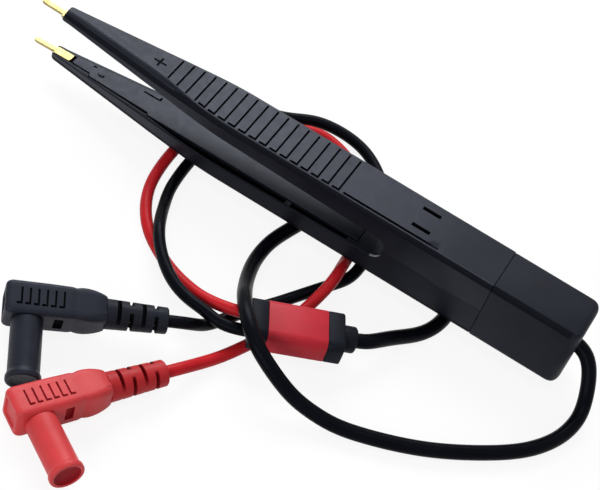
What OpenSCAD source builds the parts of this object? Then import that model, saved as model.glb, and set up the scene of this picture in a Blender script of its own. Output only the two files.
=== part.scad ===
// Test tweezers for surface-mount parts, with cable, splitter and two meter leads.
// Millimetres. X runs from the blade tips to the end cap, Z from arm to arm.

/* [Body] */
// Width of the body at the rear
body_w = 14.4; // [13.6:0.1:15.2]
// Height over both outer faces at rest
body_h = 18.8; // [18:0.1:19.8]
// Smooth nose of each arm ahead of the grip grooves
nose_len = 32.4; // [30:0.1:34]
// Pitch of the grip grooves
rib_pitch = 2.97; // [2.8:0.01:3.1]
// Number of grip cells along each arm
rib_count = 17; // [15:1:18]
// Depth of each grip groove
rib_depth = 0.5; // [0.3:0.05:0.6]
// Width of each grip groove
rib_w = 0.5; // [0.4:0.05:0.7]
// Smooth panel between the grip grooves and the end cap
panel_len = 43.6; // [42:0.1:46]
// Length of the end cap
cap_len = 24; // [23:0.5:26]
// Wall of the end cap around the tenon
cap_wall = 1.6; // [1.3:0.1:1.9]

/* [Arms] */
// Width of each arm at its tip
tip_w = 3.6; // [3.4:0.1:4.4]
// Thickness of each arm at its tip
tip_t = 2.5; // [2.4:0.05:2.8]
// Fall of each outer face from the grip grooves to the tip
nose_drop = 0.65; // [0.4:0.05:0.9]
// Thickness of each arm at its root
root_t = 6; // [5.8:0.1:6.2]
// Radius of the rounded root that turns in the rear shell
root_r = 4.5; // [4.3:0.1:4.8]
// Running clearance around the rounded root
root_gap = 0.1; // [0.08:0.01:0.14]
// Thickness of the strip that covers each contact
cover_t = 1.2; // [1:0.1:1.3]

/* [Contacts] */
// Reach of the gold blade past the arm tip
blade_len = 6; // [5:0.5:7]
// Width of the gold blade
blade_w = 1.25; // [1.1:0.05:1.6]
// Thickness of the stamped contact strip
blade_t = 0.8; // [0.7:0.05:0.9]
// Width of the seat tab behind the blade
tab_w = 2.4; // [2.2:0.1:2.6]
// Length of the seat tab behind the blade
tab_len = 5.2; // [4.8:0.1:5.8]

/* [Cords] */
// Diameter of the main cable
cable_d = 3.7; // [3.5:0.05:3.8]
// Diameter of each meter lead
lead_d = 3; // [2.8:0.05:3.1]
// Length of the splitter without its boss
split_len = 22.6; // [22:0.1:23]
// Width of the splitter
split_w = 11.5; // [11:0.1:12]
// Height of the splitter
split_h = 6.8; // [6.4:0.1:7]
// Length of the coloured band on the splitter
band_len = 14.4; // [13:0.2:15]

/* [Plugs] */
// Width of the plug handle
handle_w = 8.4; // [8:0.1:8.6]
// Height of the plug handle as it lies
handle_h = 8.4; // [8.2:0.1:8.6]
// Length of the slotted boot behind the handle
boot_len = 14.4; // [13.8:0.1:15]
// Outer diameter of the protective cap
guard_d = 7.4; // [7.2:0.1:7.6]
// Reach of the protective cap from the handle axis
guard_len = 19.6; // [19:0.1:20.2]
// Diameter of the plug pin
pin_d = 4; // [3.9:0.05:4.05]

/* [Hidden] */
$fn = 48;
// Stations along X, with the middle of the rigid body at the origin
body_len = blade_len + nose_len + rib_count * rib_pitch + panel_len + cap_len;
x_end = body_len / 2;
x_seam = x_end - cap_len;
x_panel = x_seam - panel_len;
x_rib = x_panel - rib_count * rib_pitch;
x_tip = x_rib - nose_len;
x_blade = x_tip - blade_len;
// Root of the arms: axis of turning and the end of the slot between the arms
x_pivot = x_seam - 37;
z_pivot = body_h / 2 - root_t / 2;
x_crotch = x_seam - 27.3;
crotch_r = body_h / 2 - root_t;
// Taper of the arms in plan
x_full = x_rib + 21.2;
taper_blend = 12;
taper_k = (body_w - tip_w) / 2 / (x_full - x_tip - taper_blend / 2);
// Rounded outer edges, wider down the side than across the top
edge_y = 0.8;
edge_z = 2;
// Plain rim outside the grip grooves, and the foot that turns each groove along it
rim = 1.1;
foot_len = 1.9;
first_foot = 4;
// Groove along the near rim of the panel
panel_start = 1.3;
panel_run = 26.5;
// Cover recess in the inner face: arm walls beside it, the two steps of the cover's near edge,
// the open slot beside the cover and the web that closes it
far_wall = 0.7;
near_wall = 0.6;
step_run = 0.4;
x_step1 = x_tip + 11.2;
x_step2 = x_tip + 29.7;
slot_d = 2.6;
slot_flare = 0.15;
x_web = x_tip + 71.6;
web_len = 1.6;
web_drop = 0.3;
// Groove of the contact strip
cover_gap = 0.2;
groove_w = 2.6;
groove_d = 2.2;
tail_t = 0.5;
tail_w = 1.8;
seat_d = blade_t - 0.05;
x_tab = x_tip + tab_len;
x_cover = x_tab + 0.5;
x_cover_end = x_pivot + 2.4;
x_tail_end = x_pivot + 1.5;
// Rear shells, tenon and the pockets for cable and ferrule
tenon_len = 18;
tenon_w = body_w - 2 * cap_wall - 0.2;
tenon_h = body_h - 2 * cap_wall - 0.2;
x_ferrule = x_seam + 7;
ferrule_len = 5;
ferrule_d = 6.6;
x_cable = x_seam + 5.5;
wire_d = 1.2;
// Snap hooks of the lower shell and their windows in the upper shell
x_hook = x_seam - 22.1;
hook_mid = 0.4;
hook_y = 3.2;
hook_len = 4.5;
hook_t = 0.7;
window_gap = 0.2;
// Height of the table that cords and plugs lie on
z_table = -body_h / 2 - cable_d - 0.4;
lead_r = lead_d / 2;
cable_r = cable_d / 2;
// Splitter: middle, turn, and what lies inside it
split_mid = [20.4, -36.35];
split_turn = 28;
split_lift = 3.2;
boss_len = 3.2;
boss_d = 6.4;
port_y = 2.6;
band_t = 1;
// Plugs: where each lead enters its boot with the lift over lying flat, and each plug's turn and roll
red_end = [1.9, -65.3, 0.2];
red_turn = 56;
red_roll = -4;
black_end = [-4.75, -54.2, 2.6];
black_turn = 32;
black_roll = 8;
plug_lift = handle_h / 2;
handle_len = 23.1;
guard_reach = 17.6;
guard_x = -boot_len - guard_reach;
boot_d = 7.1;
boot_end_d = 6.2;
boot_lip = 0.2;
// Slots of the boot: start of the first, pitch, width, and half of what each pair leaves standing
slot_start = 2.4;
slot_pitch = 2.87;
slot_w = 0.95;
slot_count = 4;
core_h = 1.5;
core_w = 1.2;
groove_start = -1.9;
groove_pitch = 1.92;
groove_len = 4.4;
notch_x = 6;
collar_d = 5.6;
collar_len = 2.6;
pin_len = 15.4;
core_d = 2.6;
bore_gap = 0.08;

// Arm shape along X
function half_w(x) =
    let (s = x_full - x)
    s <= 0 ? body_w / 2 :
    s < taper_blend ? body_w / 2 - taper_k * s * s / (2 * taper_blend) :
    body_w / 2 - taper_k * (s - taper_blend / 2);
function outer_z(x) = body_h / 2 - nose_drop * max(0, (x_rib - x) / nose_len);
z_tip_in = outer_z(x_tip) - tip_t;
z_root_in = body_h / 2 - root_t;
function inner_z(x) = z_tip_in + (z_root_in - z_tip_in) * min(1, (x - x_tip) / (x_pivot - x_tip));
function nose_cut(x) = let (s = x - x_tip) s < 0.3 ? 0.4 : s < 0.9 ? 0.15 : 0;
blend_steps = [for (i = [0:6]) x_full - taper_blend + i * taper_blend / 6];
arm_stations = concat(
    [x_tip, x_tip + 0.5, x_tip + 1.5, x_rib - 0.5], blend_steps, [x_pivot, x_pivot + root_r]
);

// Ring of an arm, from the near inner edge over the outer face to the far inner edge
function arm_ring(x) =
    let (
        h = half_w(x) - nose_cut(x),
        top = outer_z(x) - nose_cut(x),
        ez = min(edge_z, 0.6 * (top - inner_z(x)))
    )
    concat(
        [[x, -h, inner_z(x)]],
        [for (a = [0:30:90]) [x, -(h - edge_y) - edge_y * cos(a), top - ez + ez * sin(a)]],
        [for (a = [90:-30:0]) [x, (h - edge_y) + edge_y * cos(a), top - ez + ez * sin(a)]],
        [[x, h, inner_z(x)]]
    );
// Four-cornered ring inside the arm, a set depth range above its inner face
function band_ring(x, near, far, z0, z1) =
    let (z = inner_z(x))
    [[x, near, z + z0], [x, near, z + z1], [x, far, z + z1], [x, far, z + z0]];
function strip_ring(x, half, z0, z1) = band_ring(x, -half, half, z0, z1);
// Near edge of the cover, stepping outward twice, and the open slot beside it
function cover_edge(x) =
    x < x_step1 ? 1 + 0.04 * (x - x_cover) :
    x < x_step2 ? 2.25 + 0.042 * (x - x_step1) :
    3.8 + 0.018 * (x - x_step2);
function cover_far(x) = half_w(x) - far_wall - cover_gap;
function slot_edge(x) =
    min(half_w(x) - near_wall, cover_edge(x) + cover_gap + 0.05 + slot_flare * (x - x_step2 - step_run));
function with_steps(stations) = [for (x = stations) each
    x == x_step1 || x == x_step2 ? [[x, cover_edge(x - 0.01)], [x + step_run, cover_edge(x + step_run)]] :
    [[x, cover_edge(x)]]];
function stations_between(x0, x1) =
    concat([x0], [for (x = arm_stations) if (x > x0 + 0.5 && x < x1 - 0.5) x], [x1]);
cover_stations = with_steps([
    x_cover, x_step1, x_step2, each [for (x = blend_steps) if (x > x_step2 + 1) x], x_pivot, x_cover_end
]);

// Solid through a list of rings with equal numbers of corners
module loft(rings) {
    n = len(rings[0]);
    m = len(rings);
    points = [for (r = rings) for (p = r) p];
    sides = [for (i = [0:m - 2]) for (k = [0:n - 1])
        let (a = i * n + k, b = i * n + (k + 1) % n)
        each [[a, b, b + n], [a, b + n, a + n]]];
    caps = [[for (k = [n - 1:-1:0]) k], [for (k = [0:n - 1]) (m - 1) * n + k]];
    polyhedron(points, concat(sides, caps), convexity = 6);
}

// Tube along a route of points
function unit(v) = v / norm(v);
function heading(p, i) = unit(p[min(i + 1, len(p) - 1)] - p[max(i - 1, 0)]);
function tube_ring(c, t, r) =
    let (s = unit(cross(t, [0, 0, 1])), u = cross(s, t))
    [for (k = [0:7]) c + r * (cos(45 * k + 22.5) * s + sin(45 * k + 22.5) * u)];
module tube(route, d) {
    loft([for (i = [0:len(route) - 1]) tube_ring(route[i], heading(route, i), d / 2)]);
}

// Outline of a rounded rectangle in the plane
function rounded(a, b, r) = [
    for (q = [0:3]) for (i = [0:4])
        let (
            cx = (q == 0 || q == 3) ? a - r : r - a,
            cy = (q < 2) ? b - r : r - b,
            t = 90 * q + 22.5 * i
        )
        [cx + r * cos(t), cy + r * sin(t)]
];
// Half section of the rear body, flat side on the parting plane
function half_section(w, h, ey, ez) = concat(
    [[-w / 2, 0]],
    [for (a = [0:18:90]) [-(w / 2 - ey) - ey * cos(a), h - ez + ez * sin(a)]],
    [for (a = [90:-18:0]) [(w / 2 - ey) + ey * cos(a), h - ez + ez * sin(a)]],
    [[w / 2, 0]]
);

module along_x(x0, length) {
    translate([x0, 0, 0]) rotate([90, 0, 90]) linear_extrude(height = length) children();
}
module along_y(width) {
    rotate([90, 0, 0]) linear_extrude(height = width, center = true) children();
}
module rod_x(x0, length, d) {
    translate([x0, 0, 0]) rotate([0, 90, 0]) cylinder(h = length, d = d);
}
module mirrored_half() {
    mirror([0, 0, 1]) children();
}

// Cuts in the outer face: grip grooves, each with a foot along the near rim, and the panel's groove
module grip_cuts() {
    top = body_h / 2;
    for (i = [0:rib_count]) {
        x = x_rib + i * rib_pitch;
        edge = half_w(x) - rim;
        translate([x - rib_w / 2, -edge, top - rib_depth]) cube([rib_w, 2 * edge, 2]);
        if (i >= first_foot)
            translate([0, rib_w / 2 - edge, 0]) along_y(rib_w) polygon([
                [x, top + 1], [x, top - rib_depth],
                [x - foot_len, top - rib_depth / 3], [x - foot_len, top + 1]
            ]);
    }
}
module panel_cut() {
    translate([x_panel + panel_start, -(body_w / 2 - rim), body_h / 2 - rib_depth])
        cube([panel_run, rib_w, 2]);
}

// One arm with its rounded root, drawn as the upper one
module arm_half() {
    difference() {
        intersection() {
            loft([for (x = arm_stations) arm_ring(x)]);
            union() {
                translate([x_pivot, 0, z_pivot]) rotate([90, 0, 0])
                    cylinder(h = body_w + 2, r = root_r, center = true, $fn = 96);
                translate([x_blade, -body_w, 0]) cube([x_pivot - x_blade, 2 * body_w, body_h]);
            }
        }
        loft([for (s = cover_stations)
            band_ring(s[0] + (s[0] == x_cover_end ? 0.2 : 0), -s[1] - cover_gap,
                half_w(s[0]) - far_wall, -1, cover_t)]);
        side_slot();
        loft([for (x = [x_tab - 1.6, x_pivot, x_pivot + root_r + 1])
            strip_ring(x, groove_w / 2, -1.5, groove_d)]);
        loft([for (x = [x_tip - 1, x_tab + 0.1])
            strip_ring(x, tab_w / 2 + 0.1, -1.8, seat_d)]);
        grip_cuts();
        panel_cut();
    }
}
// Open slot between the near wall of the arm and the cover, in two runs with a web between them
module side_slot() {
    x0 = x_step2 + step_run;
    difference() {
        loft([for (x = stations_between(x0, x_pivot))
            band_ring(x, -slot_edge(x), -cover_edge(x) - cover_gap / 2, -1.2, slot_d)]);
        translate([x_web, -body_w, inner_z(x_web) + web_drop]) cube([web_len, body_w, body_h]);
    }
}
module cover_half() {
    loft([for (s = cover_stations)
        band_ring(s[0] + (s[0] == x_cover ? 0.1 : 0), -s[1], cover_far(s[0]), 0, cover_t)]);
}
// Stamped contact: blade and tab at the inner face, tail down in the groove
module contact_half() {
    function at(x, d) = [x, inner_z(x) + d];
    x_bend = x_tab - 0.2;
    x_low = x_bend + 0.3;
    x_drop = x_bend - 1.2;
    z_blade = inner_z(x_tip) + (inner_z(x_tip) - inner_z(x_tab)) * blade_len / tab_len;
    intersection() {
        along_y(tab_w + 2) polygon([
            [x_blade, z_blade - 0.05], [x_blade, z_blade - 0.05 + blade_t],
            at(x_tip, seat_d), at(x_drop, seat_d), at(x_drop + 0.8, groove_d), at(x_pivot, groove_d),
            at(x_tail_end, groove_d), at(x_tail_end, groove_d - tail_t), at(x_pivot, groove_d - tail_t),
            at(x_low, groove_d - tail_t), at(x_bend, blade_t), at(x_bend, -0.05), at(x_tip, -0.05)
        ]);
        linear_extrude(height = body_h) polygon([
            [x_blade, -blade_w / 2 + 0.3], [x_blade + 0.6, -blade_w / 2], [x_tip + 0.2, -blade_w / 2],
            [x_tip + 0.2, -tab_w / 2], [x_bend - 0.4, -tab_w / 2], [x_bend, -tab_w / 2 + 0.4],
            [x_bend, -tail_w / 2],
            [x_tail_end, -tail_w / 2], [x_tail_end, tail_w / 2], [x_bend, tail_w / 2],
            [x_bend, tab_w / 2], [x_tip + 0.2, tab_w / 2], [x_tip + 0.2, blade_w / 2],
            [x_blade + 0.6, blade_w / 2], [x_blade, blade_w / 2 - 0.3]
        ]);
    }
}
// One rear shell with its half of the tenon, drawn as the upper one
module rear_half() {
    x_front = x_pivot + 2;
    difference() {
        union() {
            along_x(x_front, x_seam - x_front) polygon(half_section(body_w, body_h / 2, edge_y, edge_z));
            along_x(x_seam - 1, tenon_len + 1) polygon(half_section(tenon_w, tenon_h / 2, 0.6, 0.6));
        }
        translate([x_pivot, 0, z_pivot]) rotate([90, 0, 0])
            cylinder(h = body_w + 2, r = root_r + root_gap, center = true, $fn = 96);
        translate([x_crotch - crotch_r, 0, 0]) rotate([90, 0, 0])
            cylinder(h = body_w + 2, r = crotch_r, center = true);
        translate([x_pivot, -body_w, -1]) cube([x_crotch - crotch_r - x_pivot, 2 * body_w, crotch_r + 1]);
        wire_space();
        rod_x(x_ferrule - 0.1, ferrule_len + 0.2, ferrule_d + 0.1);
        rod_x(x_cable - 0.5, tenon_len, cable_d + 0.3);
        panel_cut();
    }
}
module wire_space() {
    z0 = body_h / 2 - root_t + 0.9;
    z1 = body_h / 2 - root_t + groove_d;
    translate([x_pivot, -groove_w / 2, z0]) cube([14, groove_w, z1 - z0]);
    translate([x_pivot + 12, -groove_w / 2, -1]) cube([6, groove_w, z1 + 1]);
    rod_x(x_pivot + 12, x_cable - x_pivot - 12, 5);
}
module hook_slots() {
    for (y = [hook_mid - hook_y, hook_mid + hook_y])
        translate([x_hook - hook_len / 2 - window_gap, y - hook_t / 2 - window_gap, -1])
            cube([hook_len + 2 * window_gap, hook_t + 2 * window_gap, body_h]);
}
module hooks() {
    reach = body_h / 2 - 0.9;
    for (y = [hook_mid - hook_y, hook_mid + hook_y])
        translate([x_hook - hook_len / 2, y - hook_t / 2, -3]) cube([hook_len, hook_t, reach + 3]);
}
module wire_half() {
    z0 = body_h / 2 - root_t + 0.9 + (groove_d - 0.9) / 2;
    x0 = x_pivot + root_r + 0.3;
    tube([
        [x0, 0, z0], [x_pivot + 9, 0, z0], [x_pivot + 13, 0, z0], [x_pivot + 14.4, 0, z0 - 0.9],
        [x_pivot + 15.6, 0, 1.7], [x_pivot + 17, 0, 0.9], [x_cable - 4, 0, 0.9], [x_cable, 0, 0.9]
    ], wire_d);
}

module upper_arm() color([0.16, 0.17, 0.2]) arm_half();
module lower_arm() color([0.16, 0.17, 0.2]) mirrored_half() arm_half();
module upper_cover() color([0.2, 0.21, 0.24]) cover_half();
module lower_cover() color([0.2, 0.21, 0.24]) mirrored_half() cover_half();
module upper_contact() color([0.9, 0.78, 0.4]) contact_half();
module lower_contact() color([0.9, 0.78, 0.4]) mirrored_half() contact_half();
module upper_rear_shell() color([0.16, 0.17, 0.2]) difference() {
    rear_half();
    hook_slots();
}
module lower_rear_shell() color([0.16, 0.17, 0.2]) union() {
    mirrored_half() rear_half();
    hooks();
}
module upper_wire() color([0.75, 0.15, 0.17]) wire_half();
module lower_wire() color([0.12, 0.12, 0.13]) mirrored_half() wire_half();

module end_cap() color([0.16, 0.17, 0.2]) {
    corner = 3;
    x_mid = x_end - corner;
    y_mid = body_w / 2 - corner;
    h = body_h / 2;
    difference() {
        intersection() {
            along_x(x_seam, cap_len) polygon(concat(
                half_section(body_w, h, 1.2, edge_z),
                [for (p = half_section(body_w, h, 1.2, edge_z)) if (p[1] > 0) [-p[0], -p[1]]]
            ));
            translate([0, 0, -body_h]) linear_extrude(height = 2 * body_h) polygon(concat(
                [[x_seam - 1, body_w], [x_seam - 1, -body_w], [x_mid - 1, -body_w]],
                [for (a = [-90:15:0]) [x_mid + corner * cos(a), -y_mid + corner * sin(a)]],
                [for (a = [0:15:90]) [x_mid + corner * cos(a), y_mid + corner * sin(a)]],
                [[x_mid - 1, body_w]]
            ));
        }
        translate([x_seam - 1, -tenon_w / 2 - 0.1, -tenon_h / 2 - 0.1])
            cube([tenon_len + 1.2, tenon_w + 0.2, tenon_h + 0.2]);
        rod_x(x_seam, cap_len + 1, cable_d + 0.2);
    }
}
module cable_ferrule() color([0.7, 0.7, 0.72]) difference() {
    rod_x(x_ferrule, ferrule_len, ferrule_d);
    rod_x(x_ferrule - 1, ferrule_len + 2, cable_d + 0.1);
}

// Routes of the cords: points chosen along their course, heights above the table
function on_table(p) = [for (q = p) [q[0], q[1], z_table + q[2]]];
split_z = z_table + split_lift + split_h / 2;
split_axis = [cos(split_turn), sin(split_turn), 0];
split_side = [-sin(split_turn), cos(split_turn), 0];
function port(end, side, out) =
    [split_mid[0], split_mid[1], split_z] + (split_len / 2 + out) * end * split_axis + side * split_side;
cable_start = [
    [x_cable, 0, 0], [x_end - 10, 0, 0], [x_end + 0.4, 0, 0], [x_end + 3.8, -1, 0.11 * z_table],
    [x_end + 6.2, -3, 0.34 * z_table], [x_end + 7.8, -5.5, 0.56 * z_table]
];
cable_course = [
    [87.3, -9.6, 3.2], [86.5, -15.6, 1.9], [83.4, -22.7, 1.9], [77.6, -29.8, 1.9], [60.3, -42.6, 1.9],
    [41.8, -50.4, 2.2], [34.8, -51.8, 3.4], [28.3, -52.4, 5.6], [17.4, -51.2, 11.8], [13.2, -48.3, 12.9],
    [9.6, -44.2, 12.4], [6.8, -39.2, 10.3], [4.6, -33.5, 6.8], [2.6, -27, 3.8], [1.2, -20, 1.9],
    [1.4, -13, 1.9], [5, 0, 1.9], [6.5, 6.5, 1.9], [7.4, 9.2, 2.6], [9.2, 12.6, 4.7],
    [13, 15.8, 5.9], [20, 17.2, 5.8], [27.5, 16.5, 5.4], [35, 13.8, 3.8], [41.5, 9.5, 2.4],
    [45.5, 4, 1.9], [47.2, -2.5, 1.9], [46.6, -8.5, 2.1], [44.7, -13, 2.1], [39.4, -21.6, 4.6]
];
cable_route = concat(
    cable_start, on_table(cable_course), [port(1, 0, 5.4), port(1, 0, boss_len), port(1, 0, -5)]
);
red_course = [
    [2.5, -41.4, 6], [-2.7, -41, 4.6], [-12.2, -37, 1.7], [-18.4, -33.8, 1.5], [-23.9, -29.8, 1.5],
    [-28.4, -24, 1.5], [-31.2, -17.5, 1.5], [-32.5, -10, 1.5], [-32.8, -2.5, 1.5], [-32, 9, 1.5],
    [-29, 14.2, 1.5], [-24.4, 17.6, 1.5], [-16.4, 21.9, 1.5], [-9.2, 26.9, 1.5], [-6, 28, 1.5],
    [-2.1, 27.5, 1.5], [3.2, 25.5, 1.5], [7.6, 21.8, 1.5], [11.2, 16.8, 1.5], [17.2, 3.5, 1.5],
    [18.8, -2.5, 1.5], [19.2, -6.5, 2.1], [19.5, -9.3, 3.5], [19.9, -11.8, 4.9], [20.1, -14.8, 5.2],
    [20, -18.2, 4.8], [19.1, -23, 3.2], [17.4, -30.4, 1.6], [15, -37.5, 1.5], [12, -45, 1.5],
    [9.2, -51, 1.5], [6.5, -56.6, 2.6]
];
black_course = [
    [5, -46.2, 6.3], [0.2, -45.2, 6.1], [-5, -44.2, 5.4], [-10.2, -42, 5.1], [-14.8, -38.5, 5],
    [-18.5, -34.6, 5], [-21.2, -30.6, 5], [-23.2, -26, 3.8], [-25, -21, 2], [-26.7, -15.5, 1.5],
    [-27.6, -8, 1.5], [-27.8, 0, 1.6], [-28.2, 5.5, 1.8], [-28.6, 8.8, 3.3], [-28.6, 11.8, 5.1],
    [-27.6, 14.6, 5.2], [-25.6, 17.8, 5.1], [-22.9, 21, 4.2], [-19.6, 24.2, 2.4], [-16, 26.9, 1.5],
    [-9.4, 31.3, 1.5], [-2.1, 32.5, 1.5], [5.5, 31, 1.5], [12.8, 25.8, 1.5], [16.8, 20.2, 1.5],
    [20.2, 12.8, 1.5], [22.2, 5.1, 1.5], [22.6, -8.4, 1.5], [21.2, -12, 1.5], [18.9, -15.8, 1.5],
    [11.4, -28.9, 1.5], [7.6, -34.9, 1.5], [4.1, -41.3, 1.6], [2.3, -45.2, 2]
];
function plug_axis(turn) = [cos(turn), sin(turn), 0];
function plug_point(end, turn, x) = [end[0], end[1], z_table + plug_lift + end[2]] + x * plug_axis(turn);
lead_stop = guard_x + pin_d / 2 + 0.2;
function lead_route(side, course, end, turn) = concat(
    [port(-1, side, -6), port(-1, side, 0), port(-1, side, 2.5)],
    on_table(course),
    [plug_point(end, turn, 4), plug_point(end, turn, 0), plug_point(end, turn, lead_stop)]
);
module main_cable() color([0.1, 0.1, 0.11]) tube(cable_route, cable_d);
module red_lead() color([0.78, 0.16, 0.18])
    tube(lead_route(port_y, red_course, red_end, red_turn), lead_d);
module black_lead() color([0.1, 0.1, 0.11])
    tube(lead_route(-port_y, black_course, black_end, black_turn), lead_d);

// Splitter: a dark core with a coloured band around its waist
module at_splitter() {
    translate([split_mid[0], split_mid[1], split_z]) rotate([0, 0, split_turn]) children();
}
module splitter_body() color([0.13, 0.13, 0.15]) at_splitter() difference() {
    union() {
        difference() {
            along_x(-split_len / 2, split_len) polygon(rounded(split_w / 2, split_h / 2, 1.5));
            difference() {
                along_x(-band_len / 2, band_len) square([2 * split_w, 2 * split_h], center = true);
                along_x(-split_len / 2, split_len)
                    polygon(rounded(split_w / 2 - band_t, split_h / 2 - band_t, 0.8));
            }
        }
        rod_x(split_len / 2 - 1, boss_len + 1, boss_d);
    }
    rod_x(split_len / 2 - 5.5, boss_len + 6, cable_d + 0.1);
    for (y = [-port_y, port_y])
        translate([0, y, 0]) rod_x(-split_len / 2 - 1, 7.5, lead_d + 0.1);
}
module splitter_band() color([0.8, 0.16, 0.18]) at_splitter() difference() {
    along_x(-band_len / 2, band_len) polygon(rounded(split_w / 2, split_h / 2, 1.5));
    along_x(-band_len, 2 * band_len)
        polygon(rounded(split_w / 2 - band_t + 0.02, split_h / 2 - band_t + 0.02, 0.8));
}

// Plug pieces in their own frame: the lead leaves along X, the pin points along -Y
module at_plug(end, turn, roll) {
    translate([end[0], end[1], z_table + plug_lift + end[2]]) rotate([roll, 0, turn]) children();
}
module toward_pin() {
    translate([guard_x, 0, 0]) rotate([90, 0, 0]) children();
}
x_handle = -boot_len - handle_len;
function handle_ring(x, a, b, r) = [
    for (p = rounded(a, b, r)) [x, -p[0], p[1]]
];
handle_profile = [
    [0, 0.8, 0.84], [0.5, 0.94, 0.95], [1.6, 1, 1], [10, 1, 1], [15.4, 0.97, 0.98], [16, 0.92, 0.94],
    [16.8, 0.98, 0.98], [18.6, 1, 0.98], [20.4, 0.97, 0.95], [22, 0.88, 0.88], [23.1, 0.78, 0.78]
];
module plug_handle(foot) {
    a = handle_w / 2;
    b = handle_h / 2;
    difference() {
        union() {
            loft([for (s = handle_profile)
                handle_ring(x_handle + s[0], a * s[1], b * s[2], 1.6 * min(s[1], s[2]))]);
            toward_pin() translate([0, 0, a - 1]) cylinder(h = collar_len + 1, d = collar_d);
        }
        toward_pin() translate([0, 0, -2.5]) cylinder(h = a + collar_len + 4, d = pin_d + 0.04);
        rod_x(guard_x, boot_len + 30, lead_d + 0.1);
        for (i = [0:5]) {
            x = guard_x + groove_start + groove_pitch * i;
            run = 1.5 * foot;
            for (s = [-1, 1])
                along_y(groove_len) polygon([
                    [x, s * (b + 1)], [x, s * (b - 0.4)], [x + run, s * b], [x + run, s * (b + 1)]
                ]);
        }
        translate([guard_x + notch_x, -a - 1, -2]) cube([2, 1.8, 4]);
    }
}
// Slots in turn through top and bottom and through the two sides, down to the lead
module boot_slots() {
    for (i = [0:slot_count - 1], s = [-1, 1]) {
        upright = i % 2 == 0;
        core = upright ? core_h : core_w;
        x = -boot_len + slot_start + slot_pitch * i;
        rotate([upright ? 0 : 90, 0, 0])
            translate([x, -boot_d, s > 0 ? core : -core - boot_d]) cube([slot_w, 2 * boot_d, boot_d]);
    }
}
module plug_boot() {
    difference() {
        rotate([0, 90, 0]) rotate_extrude() polygon([
            [0, -boot_len], [boot_d / 2, -boot_len], [boot_end_d / 2, -boot_lip],
            [boot_end_d / 2 - boot_lip, 0], [0, 0]
        ]);
        rod_x(-boot_len - 1, boot_len + 2, lead_d + 0.1);
        boot_slots();
    }
}
// Pin with a full root, a slim core for the spring and a rounded nose
module plug_pin() {
    r = pin_d / 2;
    root = handle_w / 2 + collar_len + 1.6;
    toward_pin() rotate_extrude() polygon([
        [0, -2.4], [r, -2.4], [r, root], [core_d / 2, root], [core_d / 2, pin_len - 1.8],
        [r - 0.25, pin_len - 1.8], [r - 0.25, pin_len - 0.9], [r - 0.9, pin_len], [0, pin_len]
    ]);
}
module plug_spring() {
    z0 = handle_w / 2 + collar_len + 1.9;
    z1 = pin_len - 2.1;
    mid = (z0 + z1) / 2;
    thin = 0.22;
    low = core_d / 2 + 0.04;
    high = pin_d / 2 + 0.1;
    toward_pin() difference() {
        rotate_extrude() polygon([
            [low, z0], [low + thin, z0], [low + thin, z0 + 0.5], [high, mid - 0.6], [high, mid + 0.6],
            [low + thin, z1 - 0.5], [low + thin, z1], [low, z1], [low, z1 - 0.5],
            [high - thin, mid + 0.6], [high - thin, mid - 0.6], [low, z0 + 0.5]
        ]);
        for (a = [0, 60, 120])
            rotate([0, 0, a]) translate([-4, -0.3, z0 + 0.8]) cube([8, 0.6, z1 - z0 - 1.6]);
    }
}
module plug_guard() {
    z0 = handle_w / 2 + 0.15;
    r = guard_d / 2;
    bore = collar_d / 2 + bore_gap;
    floor_z = guard_len - 2;
    toward_pin() rotate_extrude() polygon([
        [bore, z0], [r - 0.2, z0], [r, z0 + 0.3], [r, guard_len - 1.4], [r + 0.4, guard_len - 1],
        [r + 0.4, guard_len], [r - 0.6, guard_len], [r - 0.9, guard_len - 0.4], [0, guard_len - 0.6],
        [0, floor_z], [bore - 0.4, floor_z], [bore, floor_z - 0.4]
    ]);
}
module red_plug_handle() color([0.8, 0.16, 0.18])
    at_plug(red_end, red_turn, red_roll) plug_handle(1);
module red_plug_boot() color([0.78, 0.15, 0.17])
    at_plug(red_end, red_turn, red_roll) plug_boot();
module red_plug_pin() color([0.85, 0.76, 0.5])
    at_plug(red_end, red_turn, red_roll) plug_pin();
module red_plug_spring() color([0.8, 0.72, 0.46])
    at_plug(red_end, red_turn, red_roll) plug_spring();
module red_plug_guard() color([0.8, 0.16, 0.18])
    at_plug(red_end, red_turn, red_roll) plug_guard();
module black_plug_handle() color([0.13, 0.13, 0.15])
    at_plug(black_end, black_turn, black_roll) plug_handle(-1);
module black_plug_boot() color([0.12, 0.12, 0.14])
    at_plug(black_end, black_turn, black_roll) plug_boot();
module black_plug_pin() color([0.85, 0.76, 0.5])
    at_plug(black_end, black_turn, black_roll) plug_pin();
module black_plug_spring() color([0.8, 0.72, 0.46])
    at_plug(black_end, black_turn, black_roll) plug_spring();
module black_plug_guard() color([0.13, 0.13, 0.15])
    at_plug(black_end, black_turn, black_roll) plug_guard();

upper_arm();
lower_arm();
upper_cover();
lower_cover();
upper_contact();
lower_contact();
upper_rear_shell();
lower_rear_shell();
upper_wire();
lower_wire();
end_cap();
cable_ferrule();
main_cable();
splitter_body();
splitter_band();
red_lead();
black_lead();
red_plug_handle();
red_plug_boot();
red_plug_pin();
red_plug_spring();
red_plug_guard();
black_plug_handle();
black_plug_boot();
black_plug_pin();
black_plug_spring();
black_plug_guard();
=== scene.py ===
"""Test tweezers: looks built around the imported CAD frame.

Lengths are millimetres, apart from the lamps and the camera, which are in metres.
"""
import math

import bmesh
import bpy
import numpy
from mathutils import Matrix, Vector


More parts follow.
